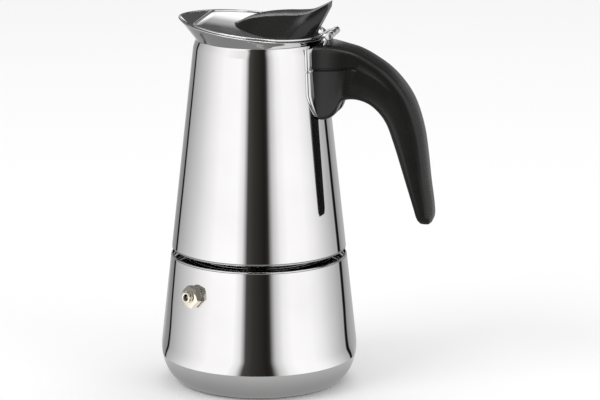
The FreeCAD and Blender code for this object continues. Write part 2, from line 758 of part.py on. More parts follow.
def leaf_section(foot_x, foot_half, crest_x, crest_half, height):
    """Section of the leaf: flat foot, sloping flanks and a dished top."""
    feet = [Vector(foot_x, -foot_half, 0), Vector(foot_x, foot_half, 0)]
    crests = [Vector(crest_x, crest_half, height), Vector(crest_x, -crest_half, height)]
    dish = LEAF_DISH * min(1.0, height / LEAF_STATIONS[3][4])
    sunk = 1 - dish / height
    dip = Vector(foot_x + (crest_x - foot_x) * sunk, 0, height - dish)
    edges = [
        line(feet[0], feet[1]),
        line(feet[1], crests[0]),
        Part.Arc(crests[0], dip, crests[1]).toShape(),
        line(crests[1], feet[0]),
    ]
    return Part.Wire(edges)


def leaf_screw(side, gap):
    shank = rod(LEAF_SCREW_SHANK + gap, -LID_SHEET, LEAF_SCREW_DEPTH + gap)
    shank.translate(Vector(LEAF_SCREW_X, side * LEAF_SCREW_Y, 0))
    return shank


def make_lid_leaf():
    leaf = Part.makeLoft([leaf_section(*station) for station in LEAF_STATIONS], True, False)
    beyond = 3 * RIM_RADIUS
    leaf = leaf.cut(block(Vector(LEAF_END_X, -beyond, -1), Vector(beyond, beyond, beyond)))
    for side in (-1, 1):
        leaf = leaf.cut(leaf_screw(side, SADDLE_GAP))
    return on_lid(leaf)


def make_lid_screws():
    screws = []
    for side in (-1, 1):
        head = rod(LEAF_SCREW_HEAD, -LID_SHEET - LEAF_SCREW_HEAD_HEIGHT, -LID_SHEET)
        head.translate(Vector(LEAF_SCREW_X, side * LEAF_SCREW_Y, 0))
        screws.append(on_lid(head.fuse(leaf_screw(side, 0)).removeSplitter()))
    return Part.makeCompound(screws)


NODES = {
    "boiler_shell": make_boiler_shell,
    "valve_body": make_valve_body,
    "valve_end_ring": make_valve_end_ring,
    "valve_outer_washer": make_valve_outer_washer,
    "valve_inner_washer": make_valve_inner_washer,
    "valve_lock_nut": make_valve_lock_nut,
    "valve_spring": make_valve_spring,
    "valve_plunger": make_valve_plunger,
    "funnel_cup": make_funnel_cup,
    "funnel_stem": make_funnel_stem,
    "funnel_sieve": make_funnel_sieve,
    "gasket": make_gasket,
    "filter_plate": make_filter_plate,
    "chamber_shell": make_chamber_shell,
    "chamber_floor": make_chamber_floor,
    "thread_collar": make_thread_collar,
    "column": make_column,
    "column_cap": make_column_cap,
    "handle_bracket": make_handle_bracket,
    "handle": make_handle,
    "handle_screw": make_handle_screw,
    "hinge_bracket": make_hinge_bracket,
    "hinge_pin": make_hinge_pin,
    "lid_shell": make_lid_shell,
    "lid_leaf": make_lid_leaf,
    "lid_screws": make_lid_screws,
}

os.makedirs("parts", exist_ok=True)
for name, make in NODES.items():
    shape = make()
    print("%s: %d solid, valid %s, %.0f mm3" % (name, len(shape.Solids), shape.isValid(), shape.Volume))
    shape.exportStep("parts/%s.step" % name)
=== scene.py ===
import math

import bmesh
import bpy
from mathutils import Matrix, Vector


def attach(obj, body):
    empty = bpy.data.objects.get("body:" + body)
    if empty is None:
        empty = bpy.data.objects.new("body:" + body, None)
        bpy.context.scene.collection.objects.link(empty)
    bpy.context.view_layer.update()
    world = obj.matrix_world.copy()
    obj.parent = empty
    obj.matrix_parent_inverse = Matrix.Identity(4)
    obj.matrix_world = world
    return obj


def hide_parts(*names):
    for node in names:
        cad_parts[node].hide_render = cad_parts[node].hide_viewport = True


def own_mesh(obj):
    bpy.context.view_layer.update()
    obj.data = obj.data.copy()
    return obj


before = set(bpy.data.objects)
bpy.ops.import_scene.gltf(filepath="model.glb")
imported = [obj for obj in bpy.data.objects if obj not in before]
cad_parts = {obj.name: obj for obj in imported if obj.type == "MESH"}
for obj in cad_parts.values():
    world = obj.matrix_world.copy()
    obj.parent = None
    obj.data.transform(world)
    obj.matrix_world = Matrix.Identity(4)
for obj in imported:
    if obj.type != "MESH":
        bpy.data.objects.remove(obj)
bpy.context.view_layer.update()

# Sizes are in millimetres, unless a name or a comment says otherwise.
MM = 0.001

# Vessel outline
FOOT_RADIUS = 33.5
CORNER_REACH = 12.4
CORNER_HEIGHT = 17.7
TAPER = 0.1095
WALL = 0.8
BASE_THICKNESS = 1.2
EDGE_RADIUS = 1.0
WALL_SUPPORT = 0.5
WALL_FIRST_SHARE = 0.005
SEAM_LOW = 62.1
SEAM_HIGH = 64.3
CREASE_Z = 164.0
CREASE_DRAW = 1.0
CREASE_DRAW_HEIGHT = 5.0

# Flared collar, rim and spout
RIM_RADIUS = 32.5
RIM_Z = 169.65
RIM_SLOPE = 0.105
RIM_WALL = 0.9
RIM_BEAD_FOOT = 0.6
SPOUT_SWELL = 3.6
SPOUT_BEAK = 1.7
SPOUT_BEAK_DEGREES = 18.0
CREASE_ROUND = 0.6

# Screwed joint and the stack in it
NECK_OUTER = 31.8
NECK_ROOT = 31.2
NECK_INNER = 30.6
NECK_TOP = 73.0
NECK_FILLET = 0.5
NECK_EDGE = 0.2
COLLAR_INNER = 32.2
COLLAR_ROOT = 32.8
COLLAR_OUTER = 34.5
COLLAR_BOTTOM = 65.3
THREAD_PITCH = 3.5
THREAD_ROUND = 0.9
THREAD_START = 64.2
NECK_THREAD_TURNS = 2.4
COLLAR_THREAD_TURNS = 2.0
FLANGE_RADIUS = 31.6
FUNNEL_SHEET = 0.8
FLANGE_TOP = 73.8
GASKET_INNER = 24.8
GASKET_TOP = 76.8
PLATE_SHEET = 0.6
PLATE_DISH_RADIUS = 23.4
PLATE_DISH_DEPTH = 1.2
PLATE_OVERLAP = 0.1
FLOOR_BOTTOM = 77.4

# Funnel
CUP_RADIUS = 26.0
CUP_BOTTOM = 54.0
STEM_RADIUS = 4.5
STEM_BORE = 3.7
STEM_TOP = 47.0
STEM_BOTTOM = 5.0
HOLE_RADIUS = 0.55
HOLE_RINGS = 6
HOLE_PITCH = 3.4

# Upper vessel's inside
FLOOR_RADIUS = 38.4
HILL_RADIUS = 14.0
HILL_TOP = 90.0
COLUMN_RADIUS = 5.5
COLUMN_BORE = 4.7
COLUMN_BOTTOM = 84.0
COLUMN_TOP = 140.0
CAP_RADIUS = 6.7
CAP_BORE = 5.6
CAP_BOTTOM = 133.0
CAP_TOP = 147.0
CAP_CEILING = 143.65
CAP_WINDOW_WIDTH = 5.0
CAP_WINDOW_HEIGHT = 3.0

# Safety valve, along its own axis from the boiler's outer face
VALVE_Z = 48.0
VALVE_DEGREES = 30.6
HEX_ACROSS_FLATS = 9.4
HEX_TURN_DEGREES = -12.0
HEX_START = 0.6
HEX_END = 4.1
HEX_FACE_INSET = 0.25
HEX_CHAMFER_DEGREES = 30
VALVE_OVERLAP = 0.2
VALVE_COLLAR_RADIUS = 3.2
VALVE_COLLAR_END = 5.1
END_RING_RADIUS = 2.7
END_RING_HOLE = 1.45
END_RING_END = 6.2
SHANK_RADIUS = 3.6
SHANK_INNER_END = -9.0
VALVE_BORE = 2.5
VALVE_SEAT = -6.0
VALVE_INLET = 1.5
WASHER_RADIUS = 4.6
WASHER_BORE = 3.7
OUTER_WASHER_START = 0.1
INNER_WASHER_START = -2.3
INNER_WASHER_END = -1.3
NUT_ACROSS_FLATS = 9.4
NUT_START = -5.3
PLUNGER_HEAD_RADIUS = 2.3
PLUNGER_HEAD_END = -4.6
PLUNGER_STEM_RADIUS = 0.9
PLUNGER_TIP = 4.9
SPRING_RADIUS = 1.85
SPRING_WIRE = 0.3
SPRING_TURNS = 6
SPRING_CLEARANCE = 0.1

# Handle: inner x and z, outer x and z, half width, radius of the inner edge, radius of the ridge, and how
# much wider the inner edge is than the middle
HANDLE_STATIONS = [
    (24.5, 129.4, 24.5, 164.0, 16.3, 3.0, 2.2, 1.2),
    (31.0, 129.2, 31.0, 164.1, 14.4, 3.0, 2.3, 1.2),
    (35.5, 129.5, 36.5, 163.7, 12.0, 3.2, 2.4, 0.8),
    (38.5, 131.7, 42.0, 162.7, 10.4, 4.2, 2.5, 0.4),
    (41.2, 137.0, 47.5, 161.2, 9.6, 4.2, 2.5, 0.0),
    (47.0, 138.2, 53.8, 158.2, 9.3, 3.8, 2.5, 0.0),
    (53.4, 136.4, 62.4, 152.5, 9.1, 3.8, 2.5, 0.0),
    (58.4, 132.4, 69.5, 145.0, 9.0, 3.8, 2.5, 0.0),
    (62.1, 127.1, 74.4, 136.6, 9.0, 3.8, 2.5, 0.0),
    (65.0, 119.4, 78.1, 124.9, 8.9, 3.8, 2.5, 0.0),
    (67.8, 110.7, 80.0, 113.0, 8.8, 3.8, 2.5, 0.0),
    (71.4, 99.5, 81.4, 100.2, 8.7, 3.6, 2.5, 0.0),
    (74.7, 89.2, 82.9, 89.2, 8.5, 3.2, 2.4, 0.0),
    (76.5, 83.4, 83.3, 83.2, 8.1, 2.4, 2.2, 0.0),
    (78.0, 80.9, 82.7, 80.7, 6.2, 1.5, 1.5, 0.0),
]
HANDLE_RIDGE_DRAW = 0.2
HANDLE_RIDGE_SOFTNESS = 1.9
HANDLE_CROWN = 0.4
HANDLE_SIDE_CROWN = 0.5
HANDLE_GROOVE_STATIONS = 7
HANDLE_GROOVE_DEPTH = 0.8
HANDLE_GROOVE_WIDTH = 0.7
HANDLE_GROOVE_SHARE = 0.69
HANDLE_ROWS = 7
BRACKET_SHEET = 1.0
BRACKET_TOP = 162.8
BRACKET_BOTTOM = 131.0
BRACKET_TOP_HALF_WIDTH = 16.0
BRACKET_HALF_WIDTH = 18.2
BRACKET_WIDEST_Z = 142.0
BRACKET_BOTTOM_HALF_WIDTH = 14.2
BRACKET_BULGE = 0.9
BRACKET_NOTCH_Z = 152.4
BRACKET_NOTCH_DEPTH = 2.2
BRACKET_NOTCH_STEPS = (-0.5, -0.45, 0.0, 0.45, 0.5)
BRACKET_NOTCH_HALF_HEIGHT = 0.48
SADDLE_GAP = 0.1
SADDLE_CUT_MARGIN = 10
LUG_REACH = 44.0
LUG_HALF_WIDTH = 5.0
LUG_BOTTOM = 144.0
LUG_TOP = 146.0
SCREW_X = 38.2
SCREW_SHANK = 2.0
SCREW_HEAD = 2.8
SCREW_HEAD_BOTTOM = 137.2
SCREW_HEAD_TOP = 139.4
SCREW_END = 147.5

# Lid hinge
HINGE_X = 35.3
HINGE_Z = 167.9
BARREL_RADIUS = 1.75
BARREL_HALF_LENGTH = 8.3
KNUCKLE_HALF_LENGTH = 3.4
KNUCKLE_GAP = 0.25
PIN_RADIUS = 1.0
PIN_HEAD_RADIUS = 1.35
PIN_HEAD_LENGTH = 0.5
PIN_CLEARANCE = 0.02
LID_KNUCKLE_CLEARANCE = 0.05
LEG_SHEET = 1.0
LEG_X = 32.1
LEG_BOTTOM = 156.0
LEG_BEND_Z = 162.8

# Lid
LID_Z = 169.75
LID_SLOPE = 0.094
LID_INSET = 2.1
LID_SHEET = 0.8
LID_FRONT_X = -27.6
LID_CORNER_BLEND = 0.8
LID_UNDER_INSET = 0.25
LID_TOP_INSET = 1.6
LID_BEAD_ROUND = 0.6
BEAD_RISE = 0.6
TONGUE_START_X = 28.0

# Leaf in the lid's plane: foot x, foot half width, crest x, crest half width, crest height
LEAF_STATIONS = [
    (-11.4, 0.3, -11.4, 0.2, 0.15),
    (-9.0, 8.0, -9.2, 4.0, 1.0),
    (-6.0, 12.0, -6.2, 5.6, 2.8),
    (-1.5, 16.6, -1.8, 6.8, 4.8),
    (4.5, 20.8, 4.4, 7.7, 6.6),
    (12.0, 22.6, 12.0, 8.0, 8.1),
    (18.5, 20.6, 19.0, 7.9, 9.1),
    (23.8, 13.8, 25.3, 6.6, 11.0),
    (27.4, 5.4, 34.6, 4.0, 17.2),
]
LEAF_ROWS = 5
LEAF_DISH = 0.7
LEAF_DISHED_HEIGHT = 4.8
LEAF_END_X = 32.8
LEAF_SCREW_X = 8.0
LEAF_SCREW_Y = 10.0
LEAF_SCREW_SHANK = 1.3
LEAF_SCREW_HEAD = 2.5
LEAF_SCREW_HEAD_HEIGHT = 1.4
LEAF_SCREW_DEPTH = 3.2
CROSS_WIDTH_SHARE = 0.35
CROSS_REACH_SHARE = 0.62
CROSS_DEPTH = 0.7

# Camera, lamps and backdrop, in metres and degrees
CAMERA_DEGREES = 13.05
CAMERA_TILT_DEGREES = 13.364
CAMERA_DISTANCE = 2.0
CAMERA_LENS_MM = 256.03
CAMERA_SENSOR_MM = 36
CAMERA_CLIP_END = 100
AIM_HEIGHT = 0.086676
AIM_SIDEWAYS = 0.01926
BACKDROP_BRIGHTNESS = 0.75
LAMP_AIM = (0.02, 0, 0.09)
# Name, place, size and power
LAMPS = [
    ("key", (-0.9, -1.1, 1.3), (1.0, 0.8), 9),
    ("fill", (1.3, -0.7, 0.9), (0.8, 0.8), 3),
    ("top", (0.2, 0.6, 1.7), (1.2, 0.8), 6),
]

# Floor, and a light tent as radius and height, with glowing sheets that only reflections see: a grey ring
# round the foot and a grey card, both painted shade of the floor round the pot, a dark ring that paints shade
# into the gap at the seam, and a light above the pot
FLOOR_SIZE = 30000
FLOOR_COLOUR = (0.94, 0.94, 0.94, 1)
TENT_OUTLINE = [
    (64, 0.5), (80, 1), (110, 2), (150, 4), (200, 9), (245, 25), (260, 60), (260, 450), (1, 460),
]
TENT_HEIGHT_METRES = 0.46
# How much the tent's bands close up toward its front, as those of a wide room would, at two distances
NEAR_PLACES = (64, 260)
NEAR_CLOSING = (0.55, 0.0)
# Painted shade: a glowing ring round the foot, seen only in reflections, darker near the pot, for the floor's
# shade
FLOOR_SHADE_OUTLINE = [(34, 0.3), (64, 0.5)]
FLOOR_SHADE_PLACES = (34, 64)
FLOOR_SHADE_BRIGHTNESS = (0.36, 0.62)
# Painted shade: a glowing grey sheet, seen only in reflections, that stands for the shaded floor in the
# collar
SHADE_CARD_START = 4.0
SHADE_CARD_FRONT_REACH = 40.0
SHADE_CARD_SIDE_REACH = 200.0
SHADE_CARD_SPREAD = 300.0
SHADE_CARD_DEGREES = 84
SHADE_CARD_PLACES = (140, 225)
SHADE_CARD_BRIGHTNESS = 0.33
RIDGE_LIGHT_PLACE = (-5, -88, 440)
RIDGE_LIGHT_REACH = (170, 62)
RIDGE_LIGHT_BRIGHTNESS = 4.0
# Painted shade: a dark glowing ring across the seam, seen only in reflections, that blackens the gap between
# the vessels
SEAM_SHADE_GAP = 0.07
SEAM_SHADE_RISE = 0.4 * EDGE_RADIUS
SEAM_SHADE_SEGMENTS = 512
SEAM_SHADE_BRIGHTNESS = 0.004

# Rounding of the small edges of turned pieces, and of bent or moulded ones
EDGES = {
    "valve_collar": 0.35,
    "valve_shank": 0.3,
    "valve_end_ring_plated": 0.45,
    "valve_outer_seal": 0.2,
    "valve_inner_seal": 0.25,
    "valve_plunger_turned": 0.3,
    "funnel_cup_pressed": 0.4,
    "funnel_stem_drawn": 0.2,
    "gasket_moulded": 0.7,
    "filter_brim": 0.15,
    "collar_ring": 0.3,
    "chamber_floor_pressed": 0.3,
    "column_drawn": 0.25,
    "handle_screw_head": 0.4,
    "knuckle": 0.25,
    "lid_knuckle": 0.25,
    "hinge_pin_riveted": 0.3,
    "leaf_screw": 0.5,
}
SHEET_EDGE = 0.2
BRACKET_EDGE = 0.18
LUG_EDGE = 0.3
LEAF_EDGE = 0.4

# Mesh fineness and shading
ROUND_SEGMENTS = 160
SMALL_SEGMENTS = 64
PIN_SEGMENTS = 48
HEX_SEGMENTS = 144
CHAMBER_SEGMENTS = 288
LID_SEGMENTS = 240
STAGE_SEGMENTS = 128
BRACKET_COLUMNS = 24
BEAD_STEPS = 8
SHARP_DEGREES = 32
BEVEL_SHARP_DEGREES = 40
MOULDED_SHARP_DEGREES = 50
HEX_SHARP_DEGREES = 18
BLUNT_DEGREES = 160
MERGE_METRES = 1e-7
ON_AXIS = 1e-6


# Node helpers


def set_inputs(tree, node, inputs):
    """Sets a node's named inputs to plain values, or links them to sockets."""
    for label, value in inputs.items():
        if isinstance(value, bpy.types.NodeSocket):
            tree.links.new(value, node.inputs[label])
        else:
            node.inputs[label].default_value = value
    return node


def add_node(tree, kind, inputs, **attributes):
    """New node of a kind, with its attributes and then its inputs."""
    node = tree.nodes.new(kind)
    for name, value in attributes.items():
        setattr(node, name, value)
    return set_inputs(tree, node, inputs)


def calculated(tree, kind, first, second=0.0):
    """Result of a sum on sockets or plain numbers."""
    return add_node(tree, "ShaderNodeMath", {0: first, 1: second}, operation=kind).outputs[0]


def reach_of(tree, place):
    return add_node(tree, "ShaderNodeVectorMath", {0: place}, operation="LENGTH").outputs["Value"]


def mapped(tree, value, given, wanted, kind="LINEAR"):
    """Value that runs over the wanted range as another runs over the given one."""
    labels = ("Value", "From Min", "From Max", "To Min", "To Max")
    inputs = dict(zip(labels, (value, *given, *wanted)))
    return add_node(tree, "ShaderNodeMapRange", inputs, interpolation_type=kind).outputs["Result"]


def noise(tree, place, scale, detail):
    inputs = {"Vector": place, "Scale": scale, "Detail": detail}
    return add_node(tree, "ShaderNodeTexNoise", inputs).outputs["Fac"]


def new_material(name):
    material = bpy.data.materials.new(name)
    material.use_nodes = True
    return material, material.node_tree


# Materials

NOISE_RANGE = (0.3, 0.7)
METAL_SPECULAR = 0.5
PLASTIC_SPECULAR = 0.3


def surface(name, dark, pale, metallic, roughness, cloud, grain, bump, turned=False):
    """Shader with clouded colour, grained roughness and a fine bump; turned lays the grain in rings."""
    material, tree = new_material(name)
    place = tree.nodes.new("ShaderNodeTexCoord").outputs["Object"]
    grain_place = place
    if turned:
        apart = add_node(tree, "ShaderNodeSeparateXYZ", {0: place}).outputs
        flat = add_node(tree, "ShaderNodeCombineXYZ", {"X": apart["X"], "Y": apart["Y"]})
        rings = {"X": reach_of(tree, flat.outputs[0]), "Z": apart["Z"]}
        grain_place = add_node(tree, "ShaderNodeCombineXYZ", rings).outputs[0]
    tint = add_node(tree, "ShaderNodeValToRGB", {"Fac": noise(tree, place, cloud, 3)})
    for stop, position, colour in zip(tint.color_ramp.elements, NOISE_RANGE, (dark, pale)):
        stop.position = position
        stop.color = (*colour, 1)
    grains = noise(tree, grain_place, grain, 4)
    relief = add_node(tree, "ShaderNodeBump", {"Strength": 1.0, "Distance": bump, "Height": grains})
    set_inputs(tree, tree.nodes["Principled BSDF"], {
        "Base Color": tint.outputs["Color"],
        "Metallic": metallic,
        "Specular IOR Level": METAL_SPECULAR if metallic else PLASTIC_SPECULAR,
        "Roughness": mapped(tree, grains, NOISE_RANGE, roughness),
        "Normal": relief.outputs["Normal"],
    })
    return material


POLISHED_STEEL = surface(
    "polished_steel", (0.60, 0.60, 0.60), (0.64, 0.64, 0.635), 1.0, (0.02, 0.05), 30, 120, 0.000002
)
SATIN_STEEL = surface(
    "satin_steel", (0.44, 0.44, 0.435), (0.52, 0.52, 0.515), 1.0, (0.22, 0.36), 60, 2500, 0.000006, True
)
BLACK_GRIP = surface(
    "black_grip", (0.0080, 0.0078, 0.0073), (0.0105, 0.0102, 0.0096), 0.0, (0.22, 0.30), 90, 3000, 0.00002
)
VALVE_NICKEL = surface(
    "valve_nickel", (0.70, 0.66, 0.56), (0.80, 0.76, 0.66), 1.0, (0.04, 0.10), 400, 2500, 0.000003
)
VALVE_PIN = surface(
    "valve_pin", (0.36, 0.31, 0.22), (0.46, 0.40, 0.29), 1.0, (0.2, 0.32), 500, 3000, 0.000006
)
SPRING_STEEL = surface(
    "spring_wire", (0.42, 0.42, 0.42), (0.52, 0.52, 0.52), 1.0, (0.2, 0.3), 500, 3000, 0.000004
)
SILICONE = surface(
    "silicone", (0.66, 0.65, 0.61), (0.76, 0.75, 0.71), 0.0, (0.55, 0.7), 80, 3000, 0.00001
)
SCREW_STEEL = surface(
    "screw_steel", (0.42, 0.42, 0.41), (0.54, 0.54, 0.52), 1.0, (0.22, 0.34), 400, 3000, 0.000006
)


# Mesh helpers


def new_object(name, mesh):
    piece = bpy.data.objects.new(name, mesh)
    bpy.context.scene.collection.objects.link(piece)
    return piece


def shade(mesh, sharp_degrees):
    mesh.polygons.foreach_set("use_smooth", [True] * len(mesh.polygons))
    mesh.set_sharp_from_angle(angle=math.radians(sharp_degrees))


def clean(mesh, sharp_degrees=SHARP_DEGREES):
    """Merges doubles, turns faces outwards and shades smooth up to an angle."""
    work = bmesh.new()
    work.from_mesh(mesh)
    bmesh.ops.remove_doubles(work, verts=work.verts, dist=MERGE_METRES)
    bmesh.ops.dissolve_degenerate(work, edges=work.edges, dist=MERGE_METRES / 10)
    bmesh.ops.recalc_face_normals(work, faces=work.faces)
    work.to_mesh(mesh)
    work.free()
    shade(mesh, sharp_degrees)


def add_mesh(name, points, faces, material, sharp_degrees=SHARP_DEGREES):
    mesh = bpy.data.meshes.new(name)
    mesh.from_pydata([Vector(point) * MM for point in points], [], faces)
    clean(mesh, sharp_degrees)
    mesh.materials.append(material)
    return new_object(name, mesh)


def loft(name, rings, material, loop=False, capped=False, place=None, sharp_degrees=SHARP_DEGREES):
    """Skin over rings of equal point counts; loop joins the last ring to the first."""
    count = len(rings[0])
    points = [Vector(point) for ring in rings for point in ring]
    if place is not None:
        points = [place @ point for point in points]
    faces = []
    for i in range(len(rings) if loop else len(rings) - 1):
        low = i * count
        high = (i + 1) % len(rings) * count
        for j in range(count):
            k = (j + 1) % count
            faces.append((low + j, low + k, high + k, high + j))
    if capped:
        faces.append(tuple(range(count)))
        faces.append(tuple(range((len(rings) - 1) * count, len(rings) * count)))
    return add_mesh(name, points, faces, material, sharp_degrees)


def spaced(low, high, shares):
    return [low + (high - low) * share for share in shares]


def between(start, end, shares):
    """Points on the way from one (r, z) point to another."""
    return list(zip(spaced(start[0], end[0], shares), spaced(start[1], end[1], shares)))


def bent(start, corner, end, shares):
    """Points on a curve from start to end that leans to a corner."""
    return [start * (1 - t) ** 2 + corner * 2 * t * (1 - t) + end * t * t for t in shares]


def rounded_corner(before, corner, after, radius, steps, limit):
    """Points round a corner that takes up no more than a share of each side."""
    before = before - corner
    after = after - corner
    reach = min(radius, limit * before.length, limit * after.length)
    start = corner + before.normalized() * reach
    end = corner + after.normalized() * reach
    return bent(start, corner, end, [i / steps for i in range(steps + 1)])


def soften(corners, radius):
    """Rounds the corners of a closed (r, z) outline; those on the axis and very blunt ones stay."""
    outline = []
    for i in range(len(corners)):
        before, here, after = (Vector(corners[k % len(corners)]) for k in (i - 1, i, i + 1))
        if here.x < ON_AXIS or (before - here).angle(after - here) > math.radians(BLUNT_DEGREES):
            outline.append(here)
        else:
            outline += rounded_corner(before, here, after, radius, 4, 0.4)
    return outline


def circle_angles(segments):
    return [2 * math.pi * i / segments for i in range(segments)]


def around(angle, radius, z):
    return radius * math.cos(angle), radius * math.sin(angle), z


def hoop(radius, z, segments):
    return [around(a, radius, z) for a in circle_angles(segments)]


def lathe(name, outline, material, segments=ROUND_SEGMENTS, place=None):
    """Turned piece from a closed (r, z) outline; an outline on the axis closes at its poles."""
    rings = [hoop(r, z, segments) for r, z in outline]
    return loft(name, rings, material, loop=outline[0][0] >= ON_AXIS, place=place)


def turned_piece(name, corners, material, segments=ROUND_SEGMENTS, place=None):
    return lathe(name, soften(corners, EDGES[name]), material, segments, place)


def tube(name, outer, inner, low, high, material, segments=SMALL_SEGMENTS, place=None):
    corners = [(inner, low), (outer, low), (outer, high), (inner, high)]
    return turned_piece(name, corners, material, segments, place)


def headed_pin(name, head, shank, low, neck, high, material, place=None):
    """Pin with its head from low to neck and its shank from neck to high."""
    corners = [(0, low), (head, low), (head, neck), (shank, neck), (shank, high), (0, high)]
    return turned_piece(name, corners, material, PIN_SEGMENTS, place)


def plug(name, radius, low, high, place):
    """Round solid to cut with."""
    rings = [hoop(radius, z, SMALL_SEGMENTS) for z in (low, high)]
    return loft(name, rings, POLISHED_STEEL, capped=True, place=place)


def box(name, low, high, material):
    (x_low, y_low, z_low), (x_high, y_high, z_high) = low, high
    corners = [(y_low, z_low), (y_high, z_low), (y_high, z_high), (y_low, z_high)]
    rings = [[(x, y, z) for y, z in corners] for x in (x_low, x_high)]
    return loft(name, rings, material, capped=True)


def baked(piece):
    """Turns live modifiers into plain mesh."""
    name = piece.data.name
    graph = bpy.context.evaluated_depsgraph_get()
    mesh = bpy.data.meshes.new_from_object(piece.evaluated_get(graph))
    piece.modifiers.clear()
    piece.data = mesh
    mesh.name = name
    return piece


def bevelled(piece, width, degrees=30, segments=3):
    bevel = piece.modifiers.new("edge", "BEVEL")
    bevel.width = width * MM
    bevel.segments = segments
    bevel.limit_method = "ANGLE"
    bevel.angle_limit = math.radians(degrees)
    bevel.harden_normals = False
    clean(baked(piece).data, BEVEL_SHARP_DEGREES)
    return piece


def carved(piece, *cutters):
    """Cuts helper solids out of a piece and removes them."""
    for cutter in cutters:
        cut = piece.modifiers.new("cut", "BOOLEAN")
        cut.operation = "DIFFERENCE"
        cut.solver = "EXACT"
        cut.object = cutter
        baked(piece)
        bpy.data.objects.remove(cutter)
    clean(piece.data)
    return piece


def joined(name, *pieces):
    """One piece from several; the first gives the material."""
    mesh = bpy.data.meshes.new(name)
    work = bmesh.new()
    for piece in pieces:
        work.from_mesh(piece.data)
    work.to_mesh(mesh)
    work.free()
    mesh.materials.append(pieces[0].data.materials[0])
    shade(mesh, SHARP_DEGREES)
    for piece in pieces:
        bpy.data.objects.remove(piece)
    return new_object(name, mesh)


def raised(z):
    return Matrix.Translation((0, 0, z))


def moved(mesh, place):
    """Moves a mesh to a place given in mm."""
    lift = place.copy()
    lift.translation *= MM
    mesh.transform(lift)


def curve_through(values, rows):
    """Smooth rows through a list of equal tuples of numbers, with so many rows for each span."""
    result = []
    last = len(values) - 1
    for i in range(last):
        a, b, c, d = (Vector(values[min(max(i + k, 0), last)]) for k in (-1, 0, 1, 2))
        for row in range(rows):
            t = row / rows
            square = (2 * a - 5 * b + 4 * c - d) * t * t
            cube = (3 * b - a - 3 * c + d) * t ** 3
            result.append(0.5 * (2 * b + (c - a) * t + square + cube))
    result.append(Vector(values[last]))
    return result


def mirrored(half):
    """Ring from its near half, with the inner points mirrored across the pot."""
    return half + [Vector((p.x, -p.y, p.z)) for p in reversed(half[1:-1])]


def settle(piece, body, node):
    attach(piece, body)
    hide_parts(node)


# Geometry Nodes trees for what repeats or winds

CIRCLE_CURVE = "GeometryNodeCurvePrimitiveCircle"
WIRE_STEPS = 72
WIRE_SIDES = 14
HOLE_SEGMENTS = 16
WELD_METRES = 1e-6


def node_tree(name, inputs):
    """New tree with its named inputs and a material, and the sockets that give them."""
    tree = bpy.data.node_groups.new(name, "GeometryNodeTree")
    tree.interface.new_socket("Geometry", in_out="OUTPUT", socket_type="NodeSocketGeometry")
    for label, kind in dict(inputs, Material="Material").items():
        tree.interface.new_socket(label, in_out="INPUT", socket_type="NodeSocket" + kind)
    return tree, tree.nodes.new("NodeGroupInput").outputs


def closed_tree(tree, geometry, given):
    """Ends a tree in realised instances with the given material."""
    real = add_node(tree, "GeometryNodeRealizeInstances", {0: geometry})
    paint = {"Geometry": real.outputs[0], "Material": given["Material"]}
    painted = add_node(tree, "GeometryNodeSetMaterial", paint)
    add_node(tree, "NodeGroupOutput", {0: painted.outputs[0]})
    return tree


def grown(name, tree, values, material, place):
    """Plain mesh piece from a tree, with its named inputs set."""
    piece = new_object(name, bpy.data.meshes.new(name))
    grower = piece.modifiers.new("grow", "NODES")
    grower.node_group = tree
    given = dict(values, Material=material)
    for item in tree.interface.items_tree:
        if item.in_out == "INPUT":
            grower[item.identifier] = given[item.name]
    baked(piece)
    moved(piece.data, place)
    clean(piece.data)
    if not piece.data.materials:
        piece.data.materials.append(material)
    return piece


def wound_wire_tree():
    """Round wire wound on a cylinder: a coil spring, or the ridge of a rolled thread."""
    inputs = dict.fromkeys(("Coil Radius", "Rise", "Turns", "Wire Radius"), "Float")
    tree, given = node_tree("wound_wire", inputs)
    spiral = add_node(tree, "GeometryNodeCurveSpiral", {
        "Resolution": WIRE_STEPS,
        "Rotations": given["Turns"],
        "Start Radius": given["Coil Radius"],
        "End Radius": given["Coil Radius"],
        "Height": given["Rise"],
    })
    section = add_node(tree, CIRCLE_CURVE, {"Resolution": WIRE_SIDES, "Radius": given["Wire Radius"]})
    path = {"Curve": spiral.outputs[0], "Profile Curve": section.outputs[0], "Fill Caps": True}
    sweep = add_node(tree, "GeometryNodeCurveToMesh", path)
    return closed_tree(tree, sweep.outputs[0], given)


